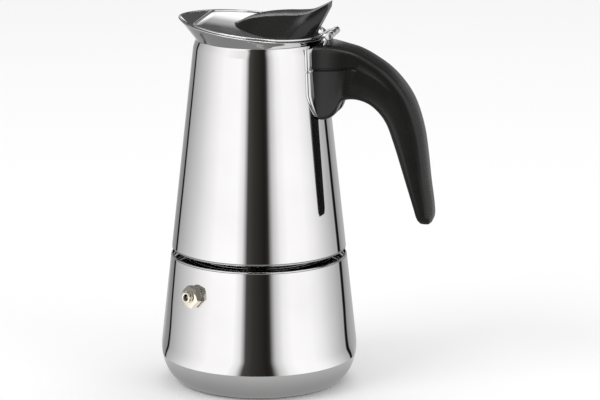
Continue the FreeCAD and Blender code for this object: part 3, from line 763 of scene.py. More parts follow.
def perforated_disc_tree():
    """Flat disc with round holes on rings about its middle, six more on each ring."""
    inputs = dict.fromkeys(("Radius", "Hole Radius", "Pitch", "Thickness"), "Float")
    tree, given = node_tree("perforated_disc", inputs)
    edge = add_node(tree, CIRCLE_CURVE, {"Resolution": ROUND_SEGMENTS, "Radius": given["Radius"]})
    hole = add_node(tree, CIRCLE_CURVE, {"Resolution": HOLE_SEGMENTS, "Radius": given["Hole Radius"]})
    middle = tree.nodes.new("GeometryNodePoints")
    centres = add_node(tree, "GeometryNodeJoinGeometry", {0: middle.outputs[0]})
    for ring in range(1, HOLE_RINGS + 1):
        reach = calculated(tree, "MULTIPLY", given["Pitch"], ring)
        circle = add_node(tree, "GeometryNodeMeshCircle", {"Vertices": 6 * ring, "Radius": reach})
        spots = add_node(tree, "GeometryNodeMeshToPoints", {0: circle.outputs[0]})
        tree.links.new(spots.outputs[0], centres.inputs[0])
    holes = {"Points": centres.outputs[0], "Instance": hole.outputs[0]}
    scatter = add_node(tree, "GeometryNodeInstanceOnPoints", holes)
    real = add_node(tree, "GeometryNodeRealizeInstances", {0: scatter.outputs[0]})
    curves = add_node(tree, "GeometryNodeJoinGeometry", {0: real.outputs[0]})
    tree.links.new(edge.outputs[0], curves.inputs[0])
    sheet = add_node(tree, "GeometryNodeFillCurve", {0: curves.outputs[0]}).outputs[0]
    rise = {"Mesh": sheet, "Offset Scale": given["Thickness"], "Individual": False}
    top = add_node(tree, "GeometryNodeExtrudeMesh", rise)
    under = add_node(tree, "GeometryNodeFlipFaces", {0: sheet})
    both = add_node(tree, "GeometryNodeJoinGeometry", {0: top.outputs["Mesh"]})
    tree.links.new(under.outputs[0], both.inputs[0])
    weld = add_node(tree, "GeometryNodeMergeByDistance", {0: both.outputs[0], "Distance": WELD_METRES})
    return closed_tree(tree, weld.outputs[0], given)


def row_tree():
    """Two copies of one piece in a row across the pot."""
    tree, given = node_tree("row_of_screws", {"Piece": "Object", "Start": "Vector", "Step": "Vector"})
    line = {"Count": 2, "Start Location": given["Start"], "Offset": given["Step"]}
    row = add_node(tree, "GeometryNodeMeshLine", line)
    source = add_node(tree, "GeometryNodeObjectInfo", {"Object": given["Piece"]})
    copies = {"Points": row.outputs[0], "Instance": source.outputs["Geometry"]}
    scatter = add_node(tree, "GeometryNodeInstanceOnPoints", copies)
    return closed_tree(tree, scatter.outputs[0], given)


WOUND_WIRE = wound_wire_tree()
PERFORATED_DISC = perforated_disc_tree()
ROW_OF_SCREWS = row_tree()


def wound(name, radius, rise, turns, wire, material, place):
    values = {"Coil Radius": radius * MM, "Rise": rise * MM, "Turns": float(turns), "Wire Radius": wire * MM}
    return grown(name, WOUND_WIRE, values, material, place)


def rolled_thread(name, radius, turns, z, material):
    return wound(name, radius, THREAD_PITCH * turns, turns, THREAD_ROUND, material, raised(z))


def perforated(name, radius, z, material):
    values = {
        "Radius": radius * MM,
        "Hole Radius": HOLE_RADIUS * MM,
        "Pitch": HOLE_PITCH * MM,
        "Thickness": PLATE_SHEET * MM,
    }
    return grown(name, PERFORATED_DISC, values, material, raised(z))


# Vessel outline


def corner_end(reach, height):
    """Angle on the foot's elliptic corner where it runs along the taper."""
    return math.pi / 2 + math.atan(TAPER * height / reach)


def corner_points(reach, height, steps=28):
    end = corner_end(reach, height)
    angles = [end * i / steps for i in range(steps + 1)]
    return [(FOOT_RADIUS + reach * math.sin(a), CORNER_HEIGHT - height * math.cos(a)) for a in angles]


def wall_radius(z, reach=CORNER_REACH, height=CORNER_HEIGHT):
    """Radius of the tapered wall above the corner."""
    end = corner_end(reach, height)
    start_radius = FOOT_RADIUS + reach * math.sin(end)
    start_z = CORNER_HEIGHT - height * math.cos(end)
    return start_radius - TAPER * (z - start_z)


def rim_radius(angle):
    """Plan outline of the rim: a circle that swells and then draws out to the spout's beak."""
    toward_spout = max(0.0, -math.cos(angle))
    off_spout = math.degrees(math.acos(max(-1.0, min(1.0, -math.cos(angle)))))
    beak = math.exp(-((off_spout / SPOUT_BEAK_DEGREES) ** 2))
    return RIM_RADIUS + SPOUT_SWELL * toward_spout ** 2 + SPOUT_BEAK * beak


def drawn_wall(z):
    """Radius of the upper vessel's wall, which draws in a little below the crease."""
    share = max(0.0, 1 - (CREASE_Z - z) / CREASE_DRAW_HEIGHT)
    return wall_radius(z) - CREASE_DRAW * share ** 2


def rounded_edge(z, way, steps=6):
    """Points round the vessel's edge at the seam, from the wall to the flat, up or down by way."""
    middle = wall_radius(z) - EDGE_RADIUS
    angles = [math.pi / 2 * i / steps for i in range(steps + 1)]
    return [(middle + EDGE_RADIUS * math.cos(a), z + way * EDGE_RADIUS * math.sin(a)) for a in angles]


# Boiler


def make_boiler():
    inner = (CORNER_REACH - WALL, CORNER_HEIGHT - BASE_THICKNESS)
    shoulder_in = SEAM_LOW - WALL
    edge_z = SEAM_LOW - EDGE_RADIUS
    outline = [(0, 0), (FOOT_RADIUS / 2, 0)]
    outline += corner_points(CORNER_REACH, CORNER_HEIGHT)
    outline += [(wall_radius(z), z) for z in (outline[-1][1] + WALL_SUPPORT, edge_z - WALL_SUPPORT)]
    outline += rounded_edge(edge_z, 1)
    outline += [(NECK_ROOT + NECK_FILLET, SEAM_LOW), (NECK_ROOT, SEAM_LOW + NECK_FILLET)]
    outline += [(NECK_ROOT, NECK_TOP - NECK_EDGE), (NECK_ROOT - NECK_EDGE, NECK_TOP)]
    outline += [(NECK_INNER + NECK_EDGE, NECK_TOP), (NECK_INNER, NECK_TOP - NECK_EDGE)]
    outline += [(NECK_INNER, shoulder_in), (wall_radius(shoulder_in, *inner), shoulder_in)]
    outline += reversed(corner_points(*inner))
    outline += [(FOOT_RADIUS / 2, BASE_THICKNESS), (0, BASE_THICKNESS)]
    shell = lathe("boiler", outline, POLISHED_STEEL)
    carved(shell, plug("valve_hole", WASHER_BORE, -3 * WALL, 3 * WALL, VALVE_PLACE))
    coil = NECK_OUTER - THREAD_ROUND
    thread = rolled_thread("neck_thread", coil, NECK_THREAD_TURNS, THREAD_START, POLISHED_STEEL)
    settle(joined("boiler_shell_polished", shell, thread), "boiler", "boiler_shell")


# Safety valve


def valve_place():
    angle = math.radians(VALVE_DEGREES)
    tilt = math.atan(TAPER)
    level = Vector((-math.sin(angle), -math.cos(angle), 0))
    axis = level * math.cos(tilt) + Vector((0, 0, math.sin(tilt)))
    sideways = level.cross(Vector((0, 0, 1)))
    upward = axis.cross(sideways)
    place = Matrix((sideways, upward, axis)).transposed().to_4x4()
    place.translation = level * wall_radius(VALVE_Z) + Vector((0, 0, VALVE_Z))
    return place


VALVE_PLACE = valve_place()


def hex_radius(angle, across_flats):
    sector = math.pi / 3
    off_flat = (angle % sector) - sector / 2
    return across_flats / 2 / math.cos(off_flat)


def hexagon(name, across_flats, bore, low, high, low_chamfer, high_chamfer, turn_degrees=0):
    """Hexagon with a round bore, its corners turned off by chamfers of 0 or 1 as on a real nut."""
    face = across_flats / 2 - HEX_FACE_INSET
    slope = math.tan(math.radians(HEX_CHAMFER_DEGREES))
    angles = circle_angles(HEX_SEGMENTS)
    radii = [hex_radius(a - math.radians(turn_degrees), across_flats) for a in angles]

    def hex_ring(z, chamfer):
        return [around(a, r, z + (r - face) * slope * chamfer) for a, r in zip(angles, radii)]

    rings = [hoop(radius, low, HEX_SEGMENTS) for radius in (bore, face)]
    rings += [hex_ring(low, low_chamfer), hex_ring(high, -high_chamfer)]
    rings += [hoop(radius, high, HEX_SEGMENTS) for radius in (face, bore)]
    return loft(name, rings, VALVE_NICKEL, loop=True, place=VALVE_PLACE, sharp_degrees=HEX_SHARP_DEGREES)


def valve_tube(name, outer, inner, low, high, material):
    return tube(name, outer, inner, low, high, material, place=VALVE_PLACE)


def make_valve():
    head = hexagon("valve_hexagon", HEX_ACROSS_FLATS, VALVE_BORE, HEX_START, HEX_END, 0, 1, HEX_TURN_DEGREES)
    collar_start = HEX_END - VALVE_OVERLAP
    collar = valve_tube(
        "valve_collar", VALVE_COLLAR_RADIUS, VALVE_BORE, collar_start, VALVE_COLLAR_END, VALVE_NICKEL
    )
    shank_end = HEX_START + VALVE_OVERLAP
    shank_corners = [
        (VALVE_INLET, SHANK_INNER_END), (SHANK_RADIUS, SHANK_INNER_END), (SHANK_RADIUS, shank_end),
        (VALVE_BORE, shank_end), (VALVE_BORE, VALVE_SEAT), (VALVE_INLET, VALVE_SEAT),
    ]
    shank = turned_piece("valve_shank", shank_corners, VALVE_NICKEL, SMALL_SEGMENTS, VALVE_PLACE)
    settle(joined("valve_body_plated", head, collar, shank), "boiler", "valve_body")
    ring = valve_tube(
        "valve_end_ring_plated", END_RING_RADIUS, END_RING_HOLE, VALVE_COLLAR_END, END_RING_END, VALVE_NICKEL
    )
    settle(ring, "boiler", "valve_end_ring")
    for name, node, low, high in (
        ("valve_outer_seal", "valve_outer_washer", OUTER_WASHER_START, HEX_START),
        ("valve_inner_seal", "valve_inner_washer", INNER_WASHER_START, INNER_WASHER_END),
    ):
        washer = valve_tube(name, WASHER_RADIUS, WASHER_BORE, low, high, SILICONE)
        settle(washer, "boiler", node)
    nut = hexagon("valve_nut_plated", NUT_ACROSS_FLATS, WASHER_BORE, NUT_START, INNER_WASHER_START, 1, 0)
    settle(nut, "boiler", "valve_lock_nut")
    plunger = headed_pin(
        "valve_plunger_turned", PLUNGER_HEAD_RADIUS, PLUNGER_STEM_RADIUS, VALVE_SEAT, PLUNGER_HEAD_END,
        PLUNGER_TIP, VALVE_PIN, VALVE_PLACE,
    )
    settle(plunger, "plunger", "valve_plunger")
    start = PLUNGER_HEAD_END + SPRING_WIRE + SPRING_CLEARANCE
    end = VALVE_COLLAR_END - SPRING_WIRE - SPRING_CLEARANCE
    spring = wound(
        "valve_spring_wound", SPRING_RADIUS, end - start, SPRING_TURNS, SPRING_WIRE, SPRING_STEEL,
        VALVE_PLACE @ raised(start),
    )
    settle(spring, "boiler", "valve_spring")
    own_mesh(spring)


# Funnel, gasket and filter plate


def make_funnel():
    inner = CUP_RADIUS - FUNNEL_SHEET
    neck = STEM_RADIUS + SADDLE_GAP
    stem_end = STEM_TOP + FUNNEL_SHEET
    cup_floor = CUP_BOTTOM + FUNNEL_SHEET
    corners = [
        (inner, FLANGE_TOP), (FLANGE_RADIUS, FLANGE_TOP), (FLANGE_RADIUS, NECK_TOP), (CUP_RADIUS, NECK_TOP),
        (CUP_RADIUS, CUP_BOTTOM), (neck + FUNNEL_SHEET, STEM_TOP), (neck, STEM_TOP), (neck, stem_end),
        (inner, cup_floor),
    ]
    cup = turned_piece("funnel_cup_pressed", corners, SATIN_STEEL)
    settle(cup, "funnel", "funnel_cup")
    stem = tube("funnel_stem_drawn", STEM_RADIUS, STEM_BORE, STEM_BOTTOM, stem_end, SATIN_STEEL)
    settle(stem, "funnel", "funnel_stem")
    sieve = perforated("funnel_sieve_punched", inner - SADDLE_GAP, cup_floor, SATIN_STEEL)
    settle(sieve, "funnel", "funnel_sieve")


def make_seal():
    gasket = tube(
        "gasket_moulded", FLANGE_RADIUS, GASKET_INNER, FLANGE_TOP, GASKET_TOP, SILICONE, ROUND_SEGMENTS
    )
    settle(gasket, "seal", "gasket")
    low = GASKET_TOP - PLATE_DISH_DEPTH
    rim_inner = PLATE_DISH_RADIUS + PLATE_DISH_DEPTH
    disc = perforated("filter_disc", PLATE_DISH_RADIUS, low, SATIN_STEEL)
    corners = [
        (PLATE_DISH_RADIUS - PLATE_OVERLAP, low), (PLATE_DISH_RADIUS, low), (rim_inner, GASKET_TOP),
        (FLANGE_RADIUS, GASKET_TOP), (FLANGE_RADIUS, FLOOR_BOTTOM),
        (rim_inner - PLATE_SHEET / 2, FLOOR_BOTTOM), (PLATE_DISH_RADIUS - PLATE_SHEET / 2, low + PLATE_SHEET),
    ]
    brim = turned_piece("filter_brim", corners, SATIN_STEEL)
    settle(joined("filter_plate_punched", disc, brim), "seal", "filter_plate")


# Upper vessel

QUARTERS = (0.25, 0.5, 0.75, 1.0)


def chamber_section(angle):
    """Closed outline of the upper vessel's wall at one angle about the axis."""
    wall_bottom = SEAM_HIGH + EDGE_RADIUS
    flange_top = SEAM_HIGH + WALL
    lip = COLLAR_OUTER + SADDLE_GAP
    crease = (drawn_wall(CREASE_Z), CREASE_Z)
    rim = rim_radius(angle)
    rim_z = RIM_Z - RIM_SLOPE * rim * math.cos(angle)
    straight_top = CREASE_Z - CREASE_DRAW_HEIGHT
    below_z = CREASE_Z - CREASE_ROUND
    below = (drawn_wall(below_z), below_z)
    above = between(crease, (rim, rim_z), [CREASE_ROUND / (rim_z - CREASE_Z)])[0]
    bead = RIM_WALL / 2
    bead_z = rim_z - bead
    lean = math.atan2(rim - crease[0], rim_z - CREASE_Z) / 2
    outline = [(lip, SEAM_HIGH)]
    outline += reversed(rounded_edge(wall_bottom, -1))
    outline += [(wall_radius(z), z) for z in spaced(wall_bottom, straight_top, (WALL_FIRST_SHARE, *QUARTERS))]
    outline += [(drawn_wall(z), z) for z in spaced(straight_top, below_z, QUARTERS)]
    outline += bent(Vector(below), Vector(crease), Vector(above), QUARTERS)
    outline += between(above, (rim - bead * RIM_BEAD_FOOT, bead_z), (0.35, 0.65, 0.85))
    for step in range(BEAD_STEPS + 1):
        turn = lean + math.pi * step / BEAD_STEPS
        outline.append((rim - bead + math.cos(turn) * bead, bead_z + math.sin(turn) * bead))
    outline += between((rim - RIM_WALL, bead_z), (crease[0] - RIM_WALL, CREASE_Z), (0.3, 0.6, 0.9))
    outline += [(drawn_wall(z) - RIM_WALL, z) for z in spaced(straight_top, CREASE_Z, (0.9, 0.6, 0.3, 0.0))]
    outline += [(wall_radius(flange_top) - RIM_WALL, flange_top), (lip, flange_top)]
    return outline


def make_chamber():
    sections = [[around(a, r, z) for r, z in chamber_section(a)] for a in circle_angles(CHAMBER_SEGMENTS)]
    shell = loft("chamber_shell_polished", list(zip(*sections)), POLISHED_STEEL, loop=True)
    settle(shell, "chamber", "chamber_shell")
    collar = tube(
        "collar_ring", COLLAR_OUTER, COLLAR_ROOT, COLLAR_BOTTOM, FLOOR_BOTTOM, SATIN_STEEL, ROUND_SEGMENTS
    )
    thread_z = THREAD_START + THREAD_PITCH
    coil = COLLAR_INNER + THREAD_ROUND
    ridge = rolled_thread("collar_thread", coil, COLLAR_THREAD_TURNS, thread_z, SATIN_STEEL)
    settle(joined("thread_collar_rolled", collar, ridge), "chamber", "thread_collar")
    hole = COLUMN_RADIUS + SADDLE_GAP
    top = FLOOR_BOTTOM + WALL
    corners = [
        (HILL_RADIUS - WALL, FLOOR_BOTTOM), (FLOOR_RADIUS, FLOOR_BOTTOM), (FLOOR_RADIUS, top),
        (HILL_RADIUS, top), (hole + WALL, HILL_TOP), (hole, HILL_TOP), (hole, HILL_TOP - WALL),
    ]
    base = turned_piece("chamber_floor_pressed", corners, SATIN_STEEL)
    settle(base, "chamber", "chamber_floor")
    column = tube("column_drawn", COLUMN_RADIUS, COLUMN_BORE, COLUMN_BOTTOM, COLUMN_TOP, SATIN_STEEL)
    settle(column, "chamber", "column")
    dome_height = CAP_TOP - CAP_CEILING
    ball = (CAP_RADIUS ** 2 + dome_height ** 2) / (2 * dome_height)
    dome = [math.asin(CAP_RADIUS / ball) * (1 - i / 10) for i in range(11)]
    outline = [(0, CAP_CEILING), (CAP_BORE, CAP_CEILING), (CAP_BORE, CAP_BOTTOM), (CAP_RADIUS, CAP_BOTTOM)]
    outline += [(ball * math.sin(a), CAP_TOP - ball * (1 - math.cos(a))) for a in dome]
    cap = lathe("column_cap_pressed", outline, SATIN_STEEL, SMALL_SEGMENTS)
    low = (-2 * CAP_RADIUS, -CAP_WINDOW_WIDTH / 2, COLUMN_TOP)
    high = (2 * CAP_RADIUS, CAP_WINDOW_WIDTH / 2, COLUMN_TOP + CAP_WINDOW_HEIGHT)
    settle(carved(cap, box("window", low, high, SATIN_STEEL)), "chamber", "column_cap")


# Handle and its fastening

SCREW_PLACE = Matrix.Translation((SCREW_X, 0, 0))


def saddle_x(y, z, gap):
    """How far out the vessel's taper, grown by gap, reaches at a point across the pot."""
    radius = wall_radius(z) + gap
    return math.sqrt(max(radius * radius - y * y, 0.0))


def handle_half(depth, half, inner_round, ridge_round, widening, groove):
    """Half of the handle's section as (depth, width) points, from its inner to its outer middle."""
    inner_middle = Vector((0, 0))
    inner_edge = Vector((0, half))
    crease = Vector((HANDLE_GROOVE_SHARE * depth, half))
    crest = Vector((depth, half - HANDLE_RIDGE_DRAW))
    outer_middle = Vector((depth + HANDLE_CROWN, 0))
    side = Vector((HANDLE_GROOVE_WIDTH, 0))
    sunk = crease - Vector((0, groove))
    points = [inner_middle, inner_edge * 0.5]
    points += rounded_corner(inner_middle, inner_edge, crease, inner_round, 8, 0.45)
    points += [(inner_edge + crease) * 0.5, crease - side, sunk - side * 0.3, sunk + side * 0.3]
    points.append(crease + (crest - crease).normalized() * HANDLE_GROOVE_WIDTH)
    points += rounded_corner(crease, crest, outer_middle, ridge_round * HANDLE_RIDGE_SOFTNESS, 8, 0.45)
    points += [crest.lerp(outer_middle, 0.7), outer_middle]
    shaped = []
    for u, v in points:
        off_middle = 1 - 2 * u / depth
        wider = widening * off_middle - HANDLE_SIDE_CROWN * off_middle * off_middle
        shaped.append((u, v * (1 + wider / half)))
    return shaped


def handle_ring(row, groove):
    inner = Vector((row[0], row[1]))
    outer = Vector((row[2], row[3]))
    depth = (outer - inner).length
    way = (outer - inner) / depth
    half = []
    for u, v in handle_half(depth - HANDLE_CROWN, *row[4:], groove):
        spot = inner + way * u
        half.append(Vector((spot.x, -v, spot.y)))
    return mirrored(half)


def make_handle():
    groove_end = HANDLE_GROOVE_STATIONS * HANDLE_ROWS
    rings = []
    for i, row in enumerate(curve_through(HANDLE_STATIONS, HANDLE_ROWS)):
        fade = min(1.0, max(0.0, 2.0 * (1 - i / groove_end)))
        rings.append(handle_ring(row, HANDLE_GROOVE_DEPTH * fade))
    handle = loft("handle_moulded", rings, BLACK_GRIP, capped=True)
    gap = BRACKET_SHEET + 2 * SADDLE_GAP
    low = BRACKET_BOTTOM - SADDLE_CUT_MARGIN
    high = BRACKET_TOP + SADDLE_CUT_MARGIN
    outline = [(0, low), (wall_radius(low) + gap, low), (wall_radius(high) + gap, high), (0, high)]
    saddle = lathe("saddle", outline, BLACK_GRIP)
    well_low = BRACKET_BOTTOM - SADDLE_CUT_MARGIN / 2
    well = plug("screw_well", SCREW_HEAD + SADDLE_GAP, well_low, SCREW_HEAD_TOP, SCREW_PLACE)
    carved(handle, saddle, well)
    clean(handle.data, MOULDED_SHARP_DEGREES)
    settle(handle, "chamber", "handle")


def bracket_half(z):
    """Half width of the bracket at a height: straight sides above, bulging in to its bottom."""
    if z > BRACKET_WIDEST_Z:
        share = (z - BRACKET_WIDEST_Z) / (BRACKET_TOP - BRACKET_WIDEST_Z)
        return BRACKET_HALF_WIDTH + (BRACKET_TOP_HALF_WIDTH - BRACKET_HALF_WIDTH) * share
    share = (z - BRACKET_BOTTOM) / (BRACKET_WIDEST_Z - BRACKET_BOTTOM)
    straight = BRACKET_BOTTOM_HALF_WIDTH + (BRACKET_HALF_WIDTH - BRACKET_BOTTOM_HALF_WIDTH) * share
    return straight + 4 * BRACKET_BULGE * share * (1 - share)


def bracket_sheet():
    """Sheet bent round the vessel: an inner and an outer skin, closed along their edges."""
    heights = [BRACKET_BOTTOM + (BRACKET_TOP - BRACKET_BOTTOM) * i / 16 for i in range(17)]
    heights += [BRACKET_NOTCH_Z + off for off in BRACKET_NOTCH_STEPS] + [BRACKET_WIDEST_Z]
    heights.sort()
    points = []
    for skin in (SADDLE_GAP, SADDLE_GAP + BRACKET_SHEET):
        for z in heights:
            half = bracket_half(z)
            if abs(z - BRACKET_NOTCH_Z) < BRACKET_NOTCH_HALF_HEIGHT:
                half -= BRACKET_NOTCH_DEPTH
            across = [half * (2 * i / BRACKET_COLUMNS - 1) for i in range(BRACKET_COLUMNS + 1)]
            points += [(saddle_x(y, z, skin), y, z) for y in across]
    wide = BRACKET_COLUMNS + 1
    layer = wide * len(heights)
    top = layer - wide
    faces = []
    for row in range(0, top, wide):
        for a in range(row, row + BRACKET_COLUMNS):
            faces.append((a, a + 1, a + wide + 1, a + wide))
            faces.append((layer + a, layer + a + wide, layer + a + wide + 1, layer + a + 1))
    for j in range(BRACKET_COLUMNS):
        faces.append((j, layer + j, layer + j + 1, j + 1))
        faces.append((top + j, top + j + 1, layer + top + j + 1, layer + top + j))
    for row in range(0, top, wide):
        for a in (row, row + BRACKET_COLUMNS):
            faces.append((a, a + wide, layer + a + wide, layer + a))
    return bevelled(add_mesh("bracket_sheet", points, faces, POLISHED_STEEL), BRACKET_EDGE, 50, 2)


def make_bracket():
    lug_low = (wall_radius(LUG_TOP) + BRACKET_SHEET / 2, -LUG_HALF_WIDTH, LUG_BOTTOM)
    lug_high = (LUG_REACH, LUG_HALF_WIDTH, LUG_TOP)
    lug = bevelled(box("bracket_lug", lug_low, lug_high, POLISHED_STEEL), LUG_EDGE)
    settle(joined("handle_bracket_bent", bracket_sheet(), lug), "chamber", "handle_bracket")
    screw = headed_pin(
        "handle_screw_head", SCREW_HEAD, SCREW_SHANK, SCREW_HEAD_BOTTOM, SCREW_HEAD_TOP, SCREW_END,
        SCREW_STEEL, SCREW_PLACE,
    )
    slot_depth = (SCREW_HEAD_TOP - SCREW_HEAD_BOTTOM) / 2
    low = (SCREW_X - 2 * SCREW_HEAD, -slot_depth / 3, SCREW_HEAD_BOTTOM - 1)
    high = (SCREW_X + 2 * SCREW_HEAD, slot_depth / 3, SCREW_HEAD_BOTTOM + slot_depth)
    settle(carved(screw, box("slot", low, high, SCREW_STEEL)), "chamber", "handle_screw")


# Hinge

HINGE_PLACE = Matrix.Translation((HINGE_X, 0, HINGE_Z)) @ Matrix.Rotation(-math.pi / 2, 4, "X")
LEG_MIDDLE = LEG_X + LEG_SHEET / 2
# Middle of a hinge strap from the leg up to the barrel, as x and z, with its lean in radians
STRAP_BENDS = [
    (LEG_MIDDLE, LEG_BEND_Z - 2, 0.0),
    (LEG_MIDDLE, LEG_BEND_Z, 0.2),
    (LEG_MIDDLE + 0.6, LEG_BEND_Z + 1.4, 0.5),
    (HINGE_X - 0.9, HINGE_Z - 0.9, 0.55),
]
FOOT_TOP = LEG_BEND_Z - 1.5


def knuckle(name, bore, low, high):
    return tube(name, BARREL_RADIUS, bore, low, high, POLISHED_STEEL, PIN_SEGMENTS, HINGE_PLACE)


def make_hinge():
    middle = KNUCKLE_HALF_LENGTH + KNUCKLE_GAP
    parts = []
    for low in (-BARREL_HALF_LENGTH, middle):
        high = low + BARREL_HALF_LENGTH - middle
        parts.append(knuckle("knuckle", PIN_RADIUS, low, high))
        rings = []
        for x, z, lean in STRAP_BENDS:
            side = Vector((math.cos(lean), 0, -math.sin(lean))) * (LEG_SHEET / 2)
            corners = ((low, -1), (high, -1), (high, 1), (low, 1))
            rings.append([Vector((x, y, z)) + side * way for y, way in corners])
        parts.append(bevelled(loft("hinge_strap", rings, POLISHED_STEEL, capped=True), SHEET_EDGE))
    foot_low = (LEG_X, -BARREL_HALF_LENGTH, LEG_BOTTOM)
    foot_high = (LEG_X + LEG_SHEET, BARREL_HALF_LENGTH, FOOT_TOP)
    parts.append(bevelled(box("hinge_foot", foot_low, foot_high, POLISHED_STEEL), SHEET_EDGE))
    settle(joined("hinge_bracket_bent", *parts), "chamber", "hinge_bracket")
    end = BARREL_HALF_LENGTH + PIN_HEAD_LENGTH
    shank = PIN_RADIUS - PIN_CLEARANCE
    corners = [
        (0, -end), (PIN_HEAD_RADIUS, -end), (PIN_HEAD_RADIUS, -BARREL_HALF_LENGTH),
        (shank, -BARREL_HALF_LENGTH), (shank, BARREL_HALF_LENGTH),
        (PIN_HEAD_RADIUS, BARREL_HALF_LENGTH), (PIN_HEAD_RADIUS, end), (0, end),
    ]
    pin = turned_piece("hinge_pin_riveted", corners, POLISHED_STEEL, PIN_SEGMENTS, HINGE_PLACE)
    settle(pin, "chamber", "hinge_pin")


# Lid and its leaf

LID_PLACE = raised(LID_Z) @ Matrix.Rotation(math.atan(LID_SLOPE), 4, "Y")


def lid_reach(angle, inset):
    """Lid outline about the axis, drawn in by inset: the rim's shape, cut straight at the spout."""
    reach = rim_radius(angle) - LID_INSET - inset
    toward_front = -math.cos(angle)
    if toward_front > 0.2:
        front = (-LID_FRONT_X - inset) / toward_front
        softened = 0.25 * LID_CORNER_BLEND * math.exp(-abs(reach - front) / LID_CORNER_BLEND)
        reach = min(reach, front) - softened
    return reach


def lid_rows():
    """Inset, height and share of the reach for each ring of the lid, from below up."""
    rows = [(0, -LID_SHEET, 0.0)]
    rows += [(LID_UNDER_INSET, -LID_SHEET, share) for share in (0.3, 0.6, 0.9, 1.0)]
    rows += [(0.05, 0.15 - LID_SHEET, 1.0), (0.0, 0.4 - LID_SHEET, 1.0)]
    for step in range(BEAD_STEPS + 1):
        turn = math.pi * step / BEAD_STEPS
        inset = LID_BEAD_ROUND * (1 - math.cos(turn))
        rows.append((inset, BEAD_RISE - LID_BEAD_ROUND * (1 - math.sin(turn)), 1.0))
    rows.append((1.35, -0.02, 1.0))
    rows += [(LID_TOP_INSET, 0.0, share) for share in (1.0, 0.9, 0.75, 0.6, 0.45, 0.3, 0.15, 0.0)]
    return rows


def make_lid():
    angles = circle_angles(LID_SEGMENTS)
    rings = [[around(a, lid_reach(a, inset) * share, z) for a in angles] for inset, z, share in lid_rows()]
    plate = loft("lid_plate", rings, POLISHED_STEEL, place=LID_PLACE)
    drills = []
    for side in (-1, 1):
        spot = LID_PLACE @ Matrix.Translation((LEAF_SCREW_X, side * LEAF_SCREW_Y, 0))
        drills.append(plug("lid_hole", LEAF_SCREW_SHANK + SADDLE_GAP, -2 * LID_SHEET, 2 * LID_SHEET, spot))
    carved(plate, *drills)
    start_z = LID_Z - LID_SLOPE * TONGUE_START_X
    end_z = HINGE_Z + BARREL_RADIUS
    wide = KNUCKLE_HALF_LENGTH
    bends = [(TONGUE_START_X, start_z), (30.0, start_z + 0.5), (32.5, end_z - 0.5), (HINGE_X - 0.6, end_z)]
    corners = ((-wide, -LID_SHEET), (wide, -LID_SHEET), (wide, 0), (-wide, 0))
    rings = [[(x, y, z + rise) for y, rise in corners] for x, z in bends]
    tongue = bevelled(loft("lid_tongue", rings, POLISHED_STEEL, capped=True), SHEET_EDGE)
    barrel = knuckle("lid_knuckle", PIN_RADIUS + LID_KNUCKLE_CLEARANCE, -wide, wide)
    settle(joined("lid_shell_polished", plate, tongue, barrel), "lid", "lid_shell")


def leaf_ring(row):
    foot_x, foot_half, crest_x, crest_half, height = row
    foot_middle = Vector((foot_x, 0, 0))
    foot = Vector((foot_x, -foot_half, 0))
    crest = Vector((crest_x, -crest_half, height))
    dish = LEAF_DISH * min(1.0, height / LEAF_DISHED_HEIGHT)
    sunk = 1 - dish / height
    dip = Vector((foot_x + (crest_x - foot_x) * sunk, 0, height - dish))
    half = [foot_middle, foot.lerp(foot_middle, 0.5)]
    half += [foot.lerp(crest, step / 6) for step in range(7)]
    for share in (0.15, 0.35, 0.6, 0.8):
        level = crest.lerp(dip, share)
        level.z = dip.z + (crest.z - dip.z) * (1 - share) ** 2
        half.append(level)
    return mirrored(half + [dip])


def make_leaf():
    rings = [leaf_ring(row) for row in curve_through(LEAF_STATIONS, LEAF_ROWS)]
    leaf = loft("lid_leaf_moulded", rings, BLACK_GRIP, capped=True)
    work = bmesh.new()
    work.from_mesh(leaf.data)
    everything = work.verts[:] + work.edges[:] + work.faces[:]
    trimmed = bmesh.ops.bisect_plane(
        work, geom=everything, plane_co=(LEAF_END_X * MM, 0, 0), plane_no=(1, 0, 0), clear_outer=True
    )
    edges = [item for item in trimmed["geom_cut"] if isinstance(item, bmesh.types.BMEdge)]
    bmesh.ops.holes_fill(work, edges=edges)
    work.to_mesh(leaf.data)
    work.free()
    clean(leaf.data, MOULDED_SHARP_DEGREES)
    bevelled(leaf, LEAF_EDGE, 35)
    moved(leaf.data, LID_PLACE)
    settle(leaf, "lid", "lid_leaf")
    low = -LID_SHEET - LEAF_SCREW_HEAD_HEIGHT
    screw = headed_pin(
        "leaf_screw", LEAF_SCREW_HEAD, LEAF_SCREW_SHANK, low, -LID_SHEET, LEAF_SCREW_DEPTH, SCREW_STEEL
    )
    thin = LEAF_SCREW_HEAD_HEIGHT * CROSS_WIDTH_SHARE / 2
    long = LEAF_SCREW_HEAD * CROSS_REACH_SHARE
    cuts = []
    for x, y in ((long, thin), (thin, long)):
        cuts.append(box("cross", (-x, -y, low - 1), (x, y, low + CROSS_DEPTH), SCREW_STEEL))
    carved(screw, *cuts)
    values = {
        "Piece": screw,
        "Start": (LEAF_SCREW_X * MM, -LEAF_SCREW_Y * MM, 0),
        "Step": (0, 2 * LEAF_SCREW_Y * MM, 0),
    }
    pair = grown("lid_screws_pair", ROW_OF_SCREWS, values, SCREW_STEEL, LID_PLACE)
    bpy.data.objects.remove(screw)
    settle(pair, "lid", "lid_screws")


make_boiler()
make_valve()
make_funnel()
make_seal()
make_chamber()
make_handle()
make_bracket()
make_hinge()
make_lid()
make_leaf()


# Stage: pale floor, light tent that only polished surfaces see, lamps and camera

